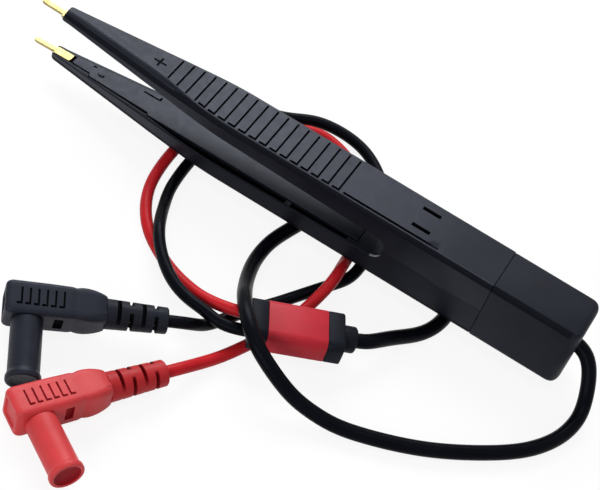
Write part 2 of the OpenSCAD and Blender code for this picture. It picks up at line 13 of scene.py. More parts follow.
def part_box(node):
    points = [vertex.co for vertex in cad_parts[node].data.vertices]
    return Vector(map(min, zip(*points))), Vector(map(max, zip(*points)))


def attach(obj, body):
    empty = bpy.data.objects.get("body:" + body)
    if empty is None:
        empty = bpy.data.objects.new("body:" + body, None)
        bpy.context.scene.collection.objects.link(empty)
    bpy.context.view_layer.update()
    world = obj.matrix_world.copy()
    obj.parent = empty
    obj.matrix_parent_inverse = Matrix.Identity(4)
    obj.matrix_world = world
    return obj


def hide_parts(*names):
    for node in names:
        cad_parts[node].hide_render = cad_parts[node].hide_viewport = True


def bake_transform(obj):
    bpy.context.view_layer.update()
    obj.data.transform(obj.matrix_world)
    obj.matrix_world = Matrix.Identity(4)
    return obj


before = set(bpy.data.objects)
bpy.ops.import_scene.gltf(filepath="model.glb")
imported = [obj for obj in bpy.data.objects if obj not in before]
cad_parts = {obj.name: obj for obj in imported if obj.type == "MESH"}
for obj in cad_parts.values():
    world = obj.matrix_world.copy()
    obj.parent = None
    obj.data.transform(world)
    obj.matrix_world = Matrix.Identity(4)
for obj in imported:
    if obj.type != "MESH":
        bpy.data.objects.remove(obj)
scene = bpy.context.scene
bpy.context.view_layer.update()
MM = 0.001


def box_mm(node):
    low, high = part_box(node)
    return [v / MM for v in low], [v / MM for v in high]


# Stations of the body along X, from the boxes of the frame
CAP_LOW, CAP_HIGH = box_mm("end_cap")
X_SEAM, X_END = CAP_LOW[0], CAP_HIGH[0]
HALF_W, HALF_H = CAP_HIGH[1], CAP_HIGH[2]
X_TIP = box_mm("upper_arm")[0][0]
# Nose ahead of the grip, pitch and number of the grip's cells, panel behind it
NOSE, PITCH, CELLS, PANEL = 32.4, 2.97, 17, 43.6
X_RIB, X_PANEL = X_TIP + NOSE, X_SEAM - PANEL
# Root of the arms, and the end of the space between them
X_PIVOT, X_CROTCH = X_SEAM - 37.0, X_SEAM - 27.3
# Taper in plan: half width at the tip, start of the full width, run into it
TIP_HALF, X_FULL, TAPER_BLEND = 1.8, X_RIB + 21.2, 12.0
TAPER_SLOPE = (HALF_W - TIP_HALF) / (X_FULL - X_TIP - TAPER_BLEND / 2)
# Thickness of an arm at its tip and root, fall of its outer face toward the tip
TIP_THICK, ROOT_THICK, NOSE_DROP = 2.5, 6.0, 0.65
# Round end of the space between the arms
CROTCH_R = HALF_H - ROOT_THICK
X_BEND = X_CROTCH - CROTCH_R
# Grip: rim outside the grooves, width and depth of a groove, length and width of its foot
RIM, GROOVE_WIDE, GROOVE_DEEP, FOOT, FOOT_WIDE = 1.1, 0.42, 0.6, 1.9, 0.6
# Seat of the contact's tab: end, half width and depth
X_TAB, TAB_HALF, TAB_DEEP = X_TIP + 5.2, 1.3, 0.75
# Cover strip: ends, thickness, wall on its far side, end of its recess
X_COVER, X_COVER_END = X_TAB + 0.5, X_PIVOT + 2.4
COVER_THICK, FAR_WALL, X_RECESS_END = 1.2, 0.7, X_COVER_END + 0.2
# Steps of the strip's near edge with their run, and the edge from each on: start, place, slope
X_STEP1, X_STEP2, STEP_RUN = X_TIP + 11.2, X_TIP + 29.7, 0.4
COVER_EDGE = ((X_COVER, 1, 0.04), (X_STEP1, 2.25, 0.042), (X_STEP2, 3.8, 0.018))
# Line between strip and wall, and its gain toward the second step
COVER_GAP, COVER_GAP_MORE = 0.28, 0.4
# Open slot beside the strip: start, depth, least width and flare, wall outside it
X_SLOT, SLOT_DEEP, SLOT_LEAST, SLOT_FLARE, NEAR_WALL = X_STEP2 + STEP_RUN, 2.6, 0.05, 0.15, 0.6
# Web across the slot: start, length, how far it lies below the inner face
X_WEB, WEB_LEN, WEB_DEEP = X_TIP + 71.6, 1.6, 0.3
# Cords, and the table under them
CABLE_D, LEAD_D, TABLE_PLAY = 3.7, 3.0, 0.4
Z_TABLE = -HALF_H - CABLE_D - TABLE_PLAY
# Half the run of a steep wall in a loft, and a hair's breadth
WALL, HAIR = 0.05, 0.01
# Longest step between the rings of each loft
SKIN_STEP, STRIP_STEP, CAP_STEP, HANDLE_STEP, BOOT_STEP, GUARD_STEP = 2.2, 2.5, 3.0, 1.2, 1.5, 2.5
# Points round small discs, turned pieces and boots
DISC_POINTS, TURNED_POINTS, BOOT_POINTS = 20, 48, 64


# Meshes
def placed(name, data):
    obj = bpy.data.objects.new(name, data)
    scene.collection.objects.link(obj)
    return obj


def add_mesh(name, verts, faces, material, extras=(), sharp=35.0):
    """Mesh from millimetres; extras are pairs of material and face numbers, sharp is in degrees."""
    mesh = bpy.data.meshes.new(name)
    mesh.from_pydata([[c * MM for c in v] for v in verts], [], faces)
    mesh.materials.append(material)
    for index, (extra, picked) in enumerate(extras, 1):
        mesh.materials.append(extra)
        for i in picked:
            mesh.polygons[i].material_index = index
    bm = bmesh.new()
    bm.from_mesh(mesh)
    bmesh.ops.recalc_face_normals(bm, faces=bm.faces)
    bm.to_mesh(mesh)
    bm.free()
    mesh.shade_smooth()
    mesh.set_sharp_from_angle(angle=math.radians(sharp))
    return placed(name, mesh)


def picked_faces(flags, enough=2):
    """Side faces of a loft with enough flagged corners; flags has one list per ring."""
    n = len(flags[0])
    out = []
    for i, (low, high) in enumerate(zip(flags, flags[1:])):
        for k in range(n):
            m = (k + 1) % n
            if low[k] + low[m] + high[k] + high[m] >= enough:
                out.append(i * n + k)
    return out


def loft(rings):
    """Skin through rings of equally many points, closed at both ends."""
    n = len(rings[0])
    verts = [p for r in rings for p in r]
    faces = []
    for i in range(len(rings) - 1):
        for k in range(n):
            a, b = i * n + k, i * n + (k + 1) % n
            faces.append((a, b, b + n, a + n))
    faces += [tuple(range(n)), tuple(range(len(verts) - n, len(verts)))]
    return verts, faces


def merge(parts):
    verts, faces = [], []
    for v, f in parts:
        base = len(verts)
        verts += v
        faces += [tuple(i + base for i in face) for face in f]
    return verts, faces


def filled(events, gap):
    """Sorted stations with no step longer than gap."""
    places = sorted(set(round(e, 4) for e in events))
    out = places[:1]
    for start, x in zip(places, places[1:]):
        steps = max(1, math.ceil((x - start) / gap))
        out += [start + (x - start) * i / steps for i in range(1, steps)] + [x]
    return out


def walls(places, half=WALL):
    """Stations on both sides of each steep wall."""
    return [x + side for x in places for side in (-half, half)]


def circle(count):
    """Cosine and sine of equal steps round a circle."""
    angles = [2 * math.pi * k / count for k in range(count)]
    return [(math.cos(t), math.sin(t)) for t in angles]


def mirrored(verts):
    return [(x, y, -z) for x, y, z in verts]


def smooth(t):
    t = min(1.0, max(0.0, t))
    return t * t * (3 - 2 * t)


# Shape of an arm along X
def half_w(x):
    s = X_FULL - x
    if s <= 0:
        return HALF_W
    if s < TAPER_BLEND:
        return HALF_W - TAPER_SLOPE * s * s / (2 * TAPER_BLEND)
    return HALF_W - TAPER_SLOPE * (s - TAPER_BLEND / 2)


def outer_z(x):
    return HALF_H - NOSE_DROP * max(0.0, (X_RIB - x) / NOSE)


def arm_inner(x):
    z_tip = outer_z(X_TIP) - TIP_THICK
    return z_tip + (CROTCH_R - z_tip) * min(1.0, (x - X_TIP) / (X_PIVOT - X_TIP))


def inner_z(x):
    if x <= X_BEND:
        return arm_inner(x)
    return math.sqrt(max(0.0, CROTCH_R ** 2 - (x - X_BEND) ** 2))


def cover_edge(x):
    start, half, slope = COVER_EDGE[(x >= X_STEP1) + (x >= X_STEP2)]
    return half + slope * (x - start)


def stepped_edge(x):
    """Near edge of the strip, with a short slant at each step."""
    for step in (X_STEP1, X_STEP2):
        if step < x < step + STEP_RUN:
            t = (x - step) / STEP_RUN
            return cover_edge(step - HAIR) * (1 - t) + cover_edge(step + STEP_RUN) * t
    return cover_edge(x)


def cover_gap(x):
    if X_STEP1 < x < X_STEP2:
        return COVER_GAP + COVER_GAP_MORE * ((x - X_STEP1) / (X_STEP2 - X_STEP1)) ** 2
    return COVER_GAP


# Materials: noise scales per metre, bump depths in metres; a grain is a scale and a depth
PATCHES = {"Scale": 120.0, "Detail": 4.0, "Roughness": 0.55}
ROUGH_PATCHES = {"Scale": 420.0, "Detail": 5.0, "Roughness": 0.65}
WEAR = {"Scale": 260.0, "Detail": 4.0, "Roughness": 0.55}
DRAWN_LINES = {"Scale": 900.0, "Detail": 3.0, "Roughness": 0.6}
GRAIN, CORD_GRAIN, GRAIN_STRENGTH = (3200.0, 0.00002), (1800.0, 0.00003), 0.25
LINE_DEPTH, LINE_STRENGTH, LINE_SPREAD = 0.00002, 0.3, (-0.08, 0.1)
ROUGH_SPREAD, WEAR_TONE, TONE_FROM, TONE_TO = 0.06, 0.78, 0.35, 0.65


def add_node(tree, kind, values):
    node = tree.nodes.new(kind)
    for name, value in values.items():
        node.inputs[name].default_value = value
    return node


def linked(tree, node, sources):
    """The node, with each source joined to the input that it is listed under."""
    for name, source in sources.items():
        tree.links.new(source, node.inputs[name])
    return node


def nodes_of(name):
    mat = bpy.data.materials.new(name)
    mat.use_nodes = True
    tree = mat.node_tree
    return mat, tree, tree.nodes["Principled BSDF"], tree.nodes.new("ShaderNodeTexCoord")


def passed(tree, kind, values, source, socket, result):
    """Output of a new node that takes a source at one socket."""
    return linked(tree, add_node(tree, kind, values), {socket: source}).outputs[result]


def noise(tree, coord, values, stretch=None):
    source = coord.outputs["Object"]
    if stretch:
        source = passed(tree, "ShaderNodeMapping", {"Scale": stretch}, source, "Vector", "Vector")
    return passed(tree, "ShaderNodeTexNoise", values, source, "Vector", "Fac")


def ranged(tree, value, low, high, start=0.3, end=0.7):
    limits = {"From Min": start, "From Max": end, "To Min": low, "To Max": high}
    return passed(tree, "ShaderNodeMapRange", limits, value, "Value", "Result")


def ramp(tree, value, stops):
    """Colour that changes with a value through stops of (place, colour)."""
    node = tree.nodes.new("ShaderNodeValToRGB")
    elements = node.color_ramp.elements
    for element, (place, color) in zip(list(elements), (stops[0], stops[-1])):
        element.position = place
        element.color = (*color, 1)
    for place, color in stops[1:-1]:
        elements.new(place).color = (*color, 1)
    return linked(tree, node, {"Fac": value}).outputs["Color"]


def bump(tree, height, strength, distance):
    values = {"Strength": strength, "Distance": distance}
    return passed(tree, "ShaderNodeBump", values, height, "Height", "Normal")


def along_body(tree, coord, stops):
    """Value that changes along X through stops of (millimetres, value)."""
    x = passed(tree, "ShaderNodeSeparateXYZ", {}, coord.outputs["Object"], "Vector", "X")
    low, high = stops[0][0], stops[-1][0]
    place = ranged(tree, x, 0.0, 1.0, low * MM, high * MM)
    return ramp(tree, place, [((at - low) / (high - low), (value,) * 3) for at, value in stops])


def moulded(name, color, rough, specular, tone=0.18, tint=None, grain=GRAIN):
    """Plastic or rubber with fine grain and patches; specular is one level, or stops along X that paint a
    sheen brighter or dimmer along the body.
    """
    mat, tree, bsdf, coord = nodes_of(name)
    fine = noise(tree, coord, {"Scale": grain[0], "Detail": 2.0, "Roughness": 0.55})
    patches, rough_patches = noise(tree, coord, PATCHES), noise(tree, coord, ROUGH_PATCHES)
    dark, light = (tuple(c * share for c in color) for share in (1 - tone, 1 + tone))
    linked(tree, bsdf, {
        "Base Color": ramp(tree, patches, [(TONE_FROM, dark), (TONE_TO, light)]),
        "Roughness": ranged(tree, rough_patches, rough - ROUGH_SPREAD, rough + ROUGH_SPREAD),
        "Normal": bump(tree, fine, GRAIN_STRENGTH, grain[1]),
    })
    level = bsdf.inputs["Specular IOR Level"]
    if isinstance(specular, list):
        # The export drops the link, so the socket holds the mean level
        level.default_value = sum(value for _, value in specular) / len(specular)
        tree.links.new(along_body(tree, coord, specular), level)
    else:
        level.default_value = specular
    if tint:
        bsdf.inputs["Specular Tint"].default_value = (*tint, 1)
    return mat


def plated(name, color, rough, stretch):
    """Plated metal: drawn lines along one way and patches of wear."""
    mat, tree, bsdf, coord = nodes_of(name)
    lines = noise(tree, coord, DRAWN_LINES, stretch)
    dark = tuple(c * WEAR_TONE for c in color)
    linked(tree, bsdf, {
        "Base Color": ramp(tree, noise(tree, coord, WEAR), [(TONE_FROM, dark), (TONE_TO, color)]),
        "Roughness": ranged(tree, lines, *(rough + part for part in LINE_SPREAD)),
        "Normal": bump(tree, lines, LINE_STRENGTH, LINE_DEPTH),
    })
    bsdf.inputs["Metallic"].default_value = 1.0
    return mat


# Bluish tint painted into the dark plastics' reflections in place of a cool light, and the levels of painted
# sheen along X, which make the body, its sides and the strip reflect brighter or dimmer where the light
# falls so
COOL_LIGHT_TINT = (0.72, 0.8, 1.0)
BODY_SHEEN_LEVELS = [
    (-70, 0.2), (-45, 0.2), (-30, 0.25), (-10, 0.29), (10, 0.265),
    (30, 0.25), (42, 0.175), (58, 0.16), (72, 0.12)
]
UPPER_SHEEN_LEVELS = [
    (-70, 0.17), (-55, 0.25), (-42, 0.3), (-20, 0.13), (8, 0.04), (30, 0.08), (45, 0.33), (60, 0.18)
]
LOWER_SHEEN_LEVELS = [
    (-70, 0.5), (-55, 0.52), (-42, 0.4), (-25, 0.07), (0, 0.09), (30, 0.05), (45, 0.16), (60, 0.18)
]
COVER_SHEEN_LEVELS = [(-65, 0.21), (-40, 0.23), (-20, 0.29), (4, 0.29), (19, 0.09)]
BODY = moulded("body_plastic", (0.008, 0.0087, 0.014), 0.42, BODY_SHEEN_LEVELS, tint=COOL_LIGHT_TINT)
# Side materials: the body's plastic with their own painted sheen levels along the sides
UPPER_SIDE_SHEEN = moulded("upper_side_painted_sheen", (0.008, 0.0085, 0.013), 0.42, UPPER_SHEEN_LEVELS, tint=COOL_LIGHT_TINT)
LOWER_SIDE_SHEEN = moulded("lower_side_painted_sheen", (0.008, 0.0085, 0.013), 0.42, LOWER_SHEEN_LEVELS, tint=COOL_LIGHT_TINT)
# Darker copy of the body: painted shade on the near outer edges
EDGE_SHADE = moulded("painted_edge_shade", (0.0045, 0.0048, 0.0075), 0.5, 0.06, tint=COOL_LIGHT_TINT)
# Copy of the body with less shine: lighter painted shade on the soft nose's edge, in the crotch and on the
# inner lips
SLOPE_SHADE = moulded("painted_slope_shade", (0.008, 0.0085, 0.013), 0.45, 0.14, tint=COOL_LIGHT_TINT)
# Lighter, glossier copy of the body: painted highlight line along the near top edge
EDGE_HIGHLIGHT = moulded("painted_edge_highlight", (0.014, 0.0147, 0.02), 0.35, 0.45, tint=COOL_LIGHT_TINT)
# Light grey facet: painted glint in the crotch
PAINTED_GLINT = moulded("painted_glint", (0.3, 0.305, 0.315), 0.28, 0.9)
COVER = moulded("cover_plastic", (0.009, 0.0096, 0.0145), 0.42, COVER_SHEEN_LEVELS, tint=COOL_LIGHT_TINT)
PLUG_BLACK = moulded("plug_black", (0.0125, 0.0135, 0.021), 0.42, 0.17, tint=COOL_LIGHT_TINT)
SPLIT_BLACK = moulded("splitter_black", (0.009, 0.010, 0.0145), 0.45, 0.07, tint=COOL_LIGHT_TINT)
PLUG_RED = moulded("plug_red", (0.69, 0.055, 0.06), 0.42, 0.2, 0.06)
# Dark red: painted shade in the red guard's dished end
DISH_SHADE_RED = moulded("painted_dish_shade_red", (0.3, 0.006, 0.012), 0.5, 0.08, 0.08)
SLEEVE_RED = moulded("sleeve_red", (0.57, 0.026, 0.042), 0.42, 0.14, 0.06)
BOOT_BLACK = moulded("boot_black", (0.008, 0.0088, 0.0125), 0.5, 0.14, tint=COOL_LIGHT_TINT)
BOOT_RED = moulded("boot_red", (0.51, 0.022, 0.026), 0.48, 0.2, 0.08)
CORD_BLACK = moulded("cord_black", (0.0025, 0.0027, 0.0045), 0.3, 0.045, tint=COOL_LIGHT_TINT, grain=CORD_GRAIN)
CORD_RED = moulded("cord_red", (0.62, 0.018, 0.025), 0.34, 0.09, 0.08, grain=CORD_GRAIN)
GOLD = plated("gold_plate", (0.46, 0.385, 0.165), 0.48, (1.0, 0.06, 1.0))
BRASS = plated("pin_brass", (0.6, 0.48, 0.24), 0.32, (1.0, 0.1, 1.0))
STEEL = plated("crimp_steel", (0.5, 0.5, 0.52), 0.34, (0.1, 1.0, 1.0))
# Dark copies: painted shade in grooves, slots, windows, recesses, the dimple and the plus sign
GROOVE_SHADE = moulded("groove_shadow", (0.003, 0.0033, 0.005), 0.7, 0.02, 0.3)
GROOVE_SHADE_RED = moulded("groove_shadow_red", (0.36, 0.014, 0.02), 0.6, 0.1, 0.1)


# Body halves: grip grooves, and the first with a foot
GROOVES = [X_RIB + i * PITCH for i in range(CELLS + 1)]
FIRST_FOOT = 4
# Groove along the panel's rim: run, depth, and how it fades out
PANEL_RUN = (X_PANEL + 1.3, X_PANEL + 27.8)
PANEL_DEEP, PANEL_FADE, PANEL_LEAST = GROOVE_DEEP * 0.8, 9.0, 0.1
# Windows of the snap hooks: run along X, depth, and the columns across them
WINDOW, WINDOW_DEEP = (X_SEAM - 24.55, X_SEAM - 19.65), 1.6
WINDOW_COLUMNS = ((-3.38, "in"), (-3.28, "window"), (-2.32, "window"), (-2.22, "in"), (0.0, "in"),
                  (3.02, "in"), (3.12, "window"), (4.08, "window"), (4.18, "in"))
# Tip: how far the upper one starts back and leans, stations and inset of the rounding
UPPER_TIP, TIP_SLANT = 0.7, 0.45
TIP_STEPS, TIP_INSET = (0.0, 0.12, 0.3, 0.6, 1.0), 0.35
# Inset at the seam, and the length that it takes
REAR_INSET, REAR_RUN = 0.16, 0.2
# Run over which the upper half's nose goes soft: its end and length
X_SOFT, SOFT_RUN = X_RIB + 14, 20.0
# Near outer edge: across and down, the most across on the soft nose, share of the height there and at most
EDGE_Y, EDGE_Z, NOSE_EDGE_Y, NOSE_EDGE_SHARE, EDGE_SHARE = 0.7, 1.4, 2.1, 0.5, 0.6
# Power of its curve: near 1 is a chamfer, 2 is round, and what the soft nose adds
CHAMFER, ROUND, SOFTER = 1.25, 2.0, 0.4
EDGE_STEPS = 10
# Its most of the half width, fall below the top and gap to the flat face, and what both gain off the nose
EDGE_MOST_Y, EDGE_DROP, EDGE_GAP, DROP_MORE, GAP_MORE = 0.85, 0.03, 0.03, 0.11, 0.25
# Steps of it that take the lighter painted slope shade instead of the edge shade on the soft nose, and how
# fast
SLOPE_STEPS, SLOPE_RATE = 5, 1.5
# Far outer edge: across, what the soft nose adds, the most down
FAR_EDGE_Y, FAR_EDGE_SOFT, FAR_EDGE_Z = 0.55, 0.3, 1.6
# Columns near the tip: least half width, room beside the edge, half width for full walls, share of a foot
NEAR_LEAST, EDGE_ROOM, FULL_WALL_FROM, FOOT_SHARE = 0.2, 0.4, 1.5, 0.35
# Shallower cuts get no painted shade and keep the colour of the body
DARK_FROM = 0.08
# Chamfer along the inner edges, across and down: on the arm, near its tip, and growing along the rear
LIP, TIP_LIP, TIP_LIP_RUN = (0.3, 0.15), (0.06, 0.04), 2
REAR_LIP, REAR_LIP_FROM, REAR_LIP_RUN = 0.12, X_CROTCH + 4, 8
# Facet of the lower half in the crotch, widened to carry a painted glint: start, run, run of the glint, most
# added width
X_GLINT_FACET, GLINT_FACET_RUN, GLINT_RUN, GLINT_FACET_WIDTH = X_BEND + 0.2, 3, 2.8, 1.2
# Flags of a ring's points, which pick painted shade: sunk ones the groove shade, near edge ones the edge
# shade, slope ones the lighter slope shade; and the number of its last faces, those across the inner face
PLAIN, SUNK, NEAR_EDGE, SLOPE, INNER_FACES = 0, 1, 2, 3, 8
# Face of a ring along the near top edge that takes a painted highlight line, and where the line starts
HIGHLIGHT_FACE, X_HIGHLIGHT = 12, X_RIB + 6
# Plus sign on the upper nose: place, lengths and half width of its arms, levels of its faces
PLUS, PLUS_LEVELS = (-44.1, 0.1, 1.8, 1.6, 0.3), (-0.2, 0.012)


def skin_stations(upper):
    tip = X_TIP + (UPPER_TIP if upper else 0.0)
    events = [tip + step for step in TIP_STEPS]
    events += [X_RIB, X_PIVOT, X_CROTCH + 2 * HAIR, X_SEAM - REAR_RUN, X_SEAM]
    for i, x in enumerate(GROOVES):
        events += walls((x - GROOVE_WIDE / 2, x + GROOVE_WIDE / 2))
        if i >= FIRST_FOOT:
            events += walls([x - FOOT])
    events += walls((*PANEL_RUN, X_COVER, X_RECESS_END, X_WEB, X_WEB + WEB_LEN))
    if upper:
        events += walls(WINDOW)
    for step in (X_STEP1, X_STEP2):
        events += [step - WALL, step, step + STEP_RUN, step + STEP_RUN + WALL]
    events += [X_BEND + CROTCH_R * math.sin(math.radians(a)) for a in range(0, 91, 9)]
    return filled(events, SKIN_STEP)


def top_depth(x, kind, upper):
    """Depth of the outer face's cuts at x, for a column of a kind."""
    depth = 0.0
    for i, g in enumerate(GROOVES):
        groove = kind != "out" and abs(x - g) < GROOVE_WIDE / 2
        foot = kind == "foot" and i >= FIRST_FOOT and g - FOOT < x < g - GROOVE_WIDE / 2
        if groove or foot:
            depth = GROOVE_DEEP
    if kind == "foot" and PANEL_RUN[0] < x < PANEL_RUN[1]:
        depth = PANEL_DEEP * smooth((PANEL_RUN[1] - x) / PANEL_FADE + PANEL_LEAST)
    if upper and kind == "window" and WINDOW[0] < x < WINDOW[1]:
        depth = WINDOW_DEEP
    return depth


def outer_edge(half, top, across, down, power):
    """Points of an outer edge from the side to the top."""
    pts = []
    for i in range(EDGE_STEPS + 1):
        a = math.radians(90.0 * i / EDGE_STEPS)
        y = half - across + across * abs(math.cos(a)) ** (2 / power)
        pts.append((y, top - down + down * math.sin(a) ** (2 / power)))
    return pts


def lip(x, from_tip, upper):
    across, down = LIP if from_tip > TIP_LIP_RUN else TIP_LIP
    if x > X_CROTCH:
        across = down = REAR_LIP + REAR_LIP * smooth((x - REAR_LIP_FROM) / REAR_LIP_RUN)
    if not upper and X_GLINT_FACET < x < X_GLINT_FACET + GLINT_FACET_RUN:
        across = LIP[0] + GLINT_FACET_WIDTH * math.sin(math.pi * (x - X_GLINT_FACET) / GLINT_FACET_RUN)
    return across, down


def top_columns(half, edge):
    """Places across the outer face from near to far, each with its kind of cut."""
    near = max(NEAR_LEAST, half - max(RIM, edge + EDGE_ROOM))
    scale = near / (HALF_W - RIM)
    wall = WALL * min(1.0, near / FULL_WALL_FROM)
    foot = min(FOOT_WIDE, FOOT_SHARE * near)
    columns = [(-near - wall, "out"), (-near + wall, "foot"),
               (-near + foot - wall, "foot"), (-near + foot + wall, "in")]
    columns += [(y * scale, kind) for y, kind in WINDOW_COLUMNS]
    far = half - RIM
    return columns + [(far - WALL, "in"), (far + WALL, "out")]


def inner_face(x, half, level):
    """Points across the inner face from far to near: recess of tab or strip, and the slot beside it."""
    in_tab = x < X_COVER
    in_cover = X_COVER < x < X_RECESS_END
    depth = COVER_THICK if in_cover else TAB_DEEP if in_tab else 0.0
    y_far = TAB_HALF if in_tab else half_w(min(x, X_COVER_END)) - FAR_WALL
    y_near = TAB_HALF if in_tab else stepped_edge(min(x, X_COVER_END)) + cover_gap(x)
    y_slot = y_near + 3 * WALL
    slot = depth
    if x > X_SLOT:
        y_slot = max(y_slot, min(half - NEAR_WALL, y_near + SLOT_LEAST + SLOT_FLARE * (x - X_SLOT)))
        if x < X_PIVOT and in_cover and not X_WEB < x < X_WEB + WEB_LEN:
            slot = SLOT_DEEP
        elif in_cover:
            slot = WEB_DEEP
    sunk = SUNK if depth else PLAIN
    open_slot = SUNK if slot > WEB_DEEP else PLAIN
    return [
        (y_far + WALL, level, PLAIN), (y_far - WALL, level + depth, sunk), (0.0, level + depth, sunk),
        (-y_near + WALL, level + depth, sunk), (-y_near - WALL, level + slot, open_slot),
        (-y_slot + WALL, level + slot, open_slot), (-y_slot - WALL, level, PLAIN)
    ]


def skin_ring(x, upper):
    """Ring of one half from the near inner edge over the outer face and back, with its flags."""
    s = x - X_TIP - (UPPER_TIP if upper else 0.0)
    inset = TIP_INSET * (1 - math.sqrt(max(0.0, 1 - (1 - s) ** 2))) if s < TIP_STEPS[-1] else 0.0
    if x > X_SEAM - HAIR:
        inset += REAR_INSET
    half, top, low = half_w(x) - inset, outer_z(x) - inset, inner_z(x)
    thick = top - low
    soft = smooth((X_SOFT - x) / SOFT_RUN) if upper else 0.0
    across = EDGE_Y + (min(EDGE_MOST_Y * half, NOSE_EDGE_Y) - EDGE_Y) * soft
    down = min(EDGE_Z + (NOSE_EDGE_SHARE * thick - EDGE_Z) * soft, EDGE_SHARE * thick)
    power = CHAMFER + SOFTER * soft if upper else ROUND
    lip_y, lip_z = lip(x, s, upper)
    ring = [(-half + lip_y, low, PLAIN), (-half, low + lip_z, PLAIN)]
    drop = EDGE_DROP + DROP_MORE * (1 - soft)
    slope_from = EDGE_STEPS - SLOPE_STEPS * min(1.0, SLOPE_RATE * soft)
    for i, (y, z) in enumerate(outer_edge(half, top - drop, across, down, power)):
        ring.append((-y, z, SLOPE if i > slope_from else NEAR_EDGE))
    ring.append((-half + across + EDGE_GAP + GAP_MORE * (1 - soft), top, PLAIN))
    for y, kind in top_columns(half, across):
        depth = top_depth(x, kind, upper)
        ring.append((y, top - depth, SUNK if depth > DARK_FROM else PLAIN))
    far_down = min(FAR_EDGE_Z, EDGE_SHARE * thick)
    far = outer_edge(half, top, FAR_EDGE_Y + FAR_EDGE_SOFT * soft, far_down, ROUND)
    ring += [(y, z, PLAIN) for y, z in reversed(far)]
    ring += [(half, low + lip_z, PLAIN), (half - lip_z, low, PLAIN)]
    ring += inner_face(x, half, low)
    slant = TIP_SLANT * max(0.0, 1 - s) if upper else 0.0
    points = [(x + slant * (z - low) / thick, y, z) for y, z, _ in ring]
    return points, [flag for _, _, flag in ring]


def over(level, rings):
    """Small solid on a face, through outlines with their heights over it."""
    return loft([[(x, y, level(x) + lift) for x, y in outline] for outline, lift in rings])


def plus_outline(x, y, a, b, w):
    """Plus sign with arms a and b long and w to each side."""
    corners = [(w, b), (w, w), (a, w), (a, -w), (w, -w), (w, -b),
               (-w, -b), (-w, -w), (-a, -w), (-a, w), (-w, w), (-w, b)]
    return [(x + u, y + v) for u, v in corners]


def disc_outline(x, y, a, b):
    return [(x + a * c, y + b * s) for c, s in circle(DISC_POINTS)]


def half_body(name, upper):
    """Skin of an arm and its rear shell in one."""
    stations = skin_stations(upper)
    rings, flags = zip(*(skin_ring(x, upper) for x in stations))
    verts, faces = loft(rings)
    count = len(rings[0])
    # Faces with painted shade: sunk cuts, the near outer edge, and the lighter slope shade
    deep, edge, slope = (picked_faces([[f == kind for f in ring] for ring in flags], enough)
                         for kind, enough in ((SUNK, 2), (NEAR_EDGE, 3), (SLOPE, 3)))
    sides, line, glint = [], [], []
    for i, x in enumerate(stations[:-1]):
        first = i * count
        # Painted slope shade on the inner faces before the crotch and the inner lips ahead of it; painted
        # sheen on the sides; painted highlight along the near top edge; painted glint in the crotch
        if X_COVER_END + 2 * WALL < x < X_CROTCH:
            slope += range(first + count - INNER_FACES, first + count)
        if x < X_CROTCH:
            slope += [first, first + count - 1]
            sides.append(first + 1)
        else:
            sides += [first, first + 1]
        if x > X_HIGHLIGHT:
            line.append(first + HIGHLIGHT_FACE)
        if not upper and X_GLINT_FACET < x < X_GLINT_FACET + GLINT_RUN:
            glint.append(first)
    if upper:
        sign = over(outer_z, [(plus_outline(*PLUS), lift) for lift in PLUS_LEVELS])
        before = len(faces)
        verts, faces = merge([(verts, faces), sign])
        # The plus sign takes painted groove shade all over
        deep += range(before, len(faces))
    else:
        verts = mirrored(verts)
    extras = [(GROOVE_SHADE, deep), (EDGE_SHADE, edge), (SLOPE_SHADE, slope), (UPPER_SIDE_SHEEN if upper else LOWER_SIDE_SHEEN, sides),
              (EDGE_HIGHLIGHT, line), (PAINTED_GLINT, glint)]
    return add_mesh(name, verts, faces, BODY, extras)


# Slit in the strip: run along X, where its hook starts, depth, and its columns across
SLIT_X, SLIT_HOOK, SLIT_DEEP, SLIT_ROOM = (-47.0, -42.0), -42.5, 0.4, 3.9
SLIT_COLUMNS = ((3.65, ""), (3.55, "hook"), (2.8, "hook"), (2.7, "run"), (2.35, "run"), (2.25, ""))
# Strip: chamfer, play ahead of it, on its far side and under it, angle of its sharp edges
STRIP_EDGE, STRIP_AHEAD, STRIP_PLAY, STRIP_UNDER, STRIP_SHARP = 0.1, 0.1, 0.07, 0.05, 20.0
# Dimple and stud: place and half sizes, levels of the dimple, share and level of each ring of the stud
DIMPLE, DIMPLE_LEVELS = (-61.1, 1.55, 0.6, 0.32), (-0.01, 0.2)
STUD, STUD_RINGS = (-58.4, 0.05, 1.0, 0.6), ((1.0, 0.05), (0.97, -0.2), (0.85, -0.32), (0.5, -0.38))


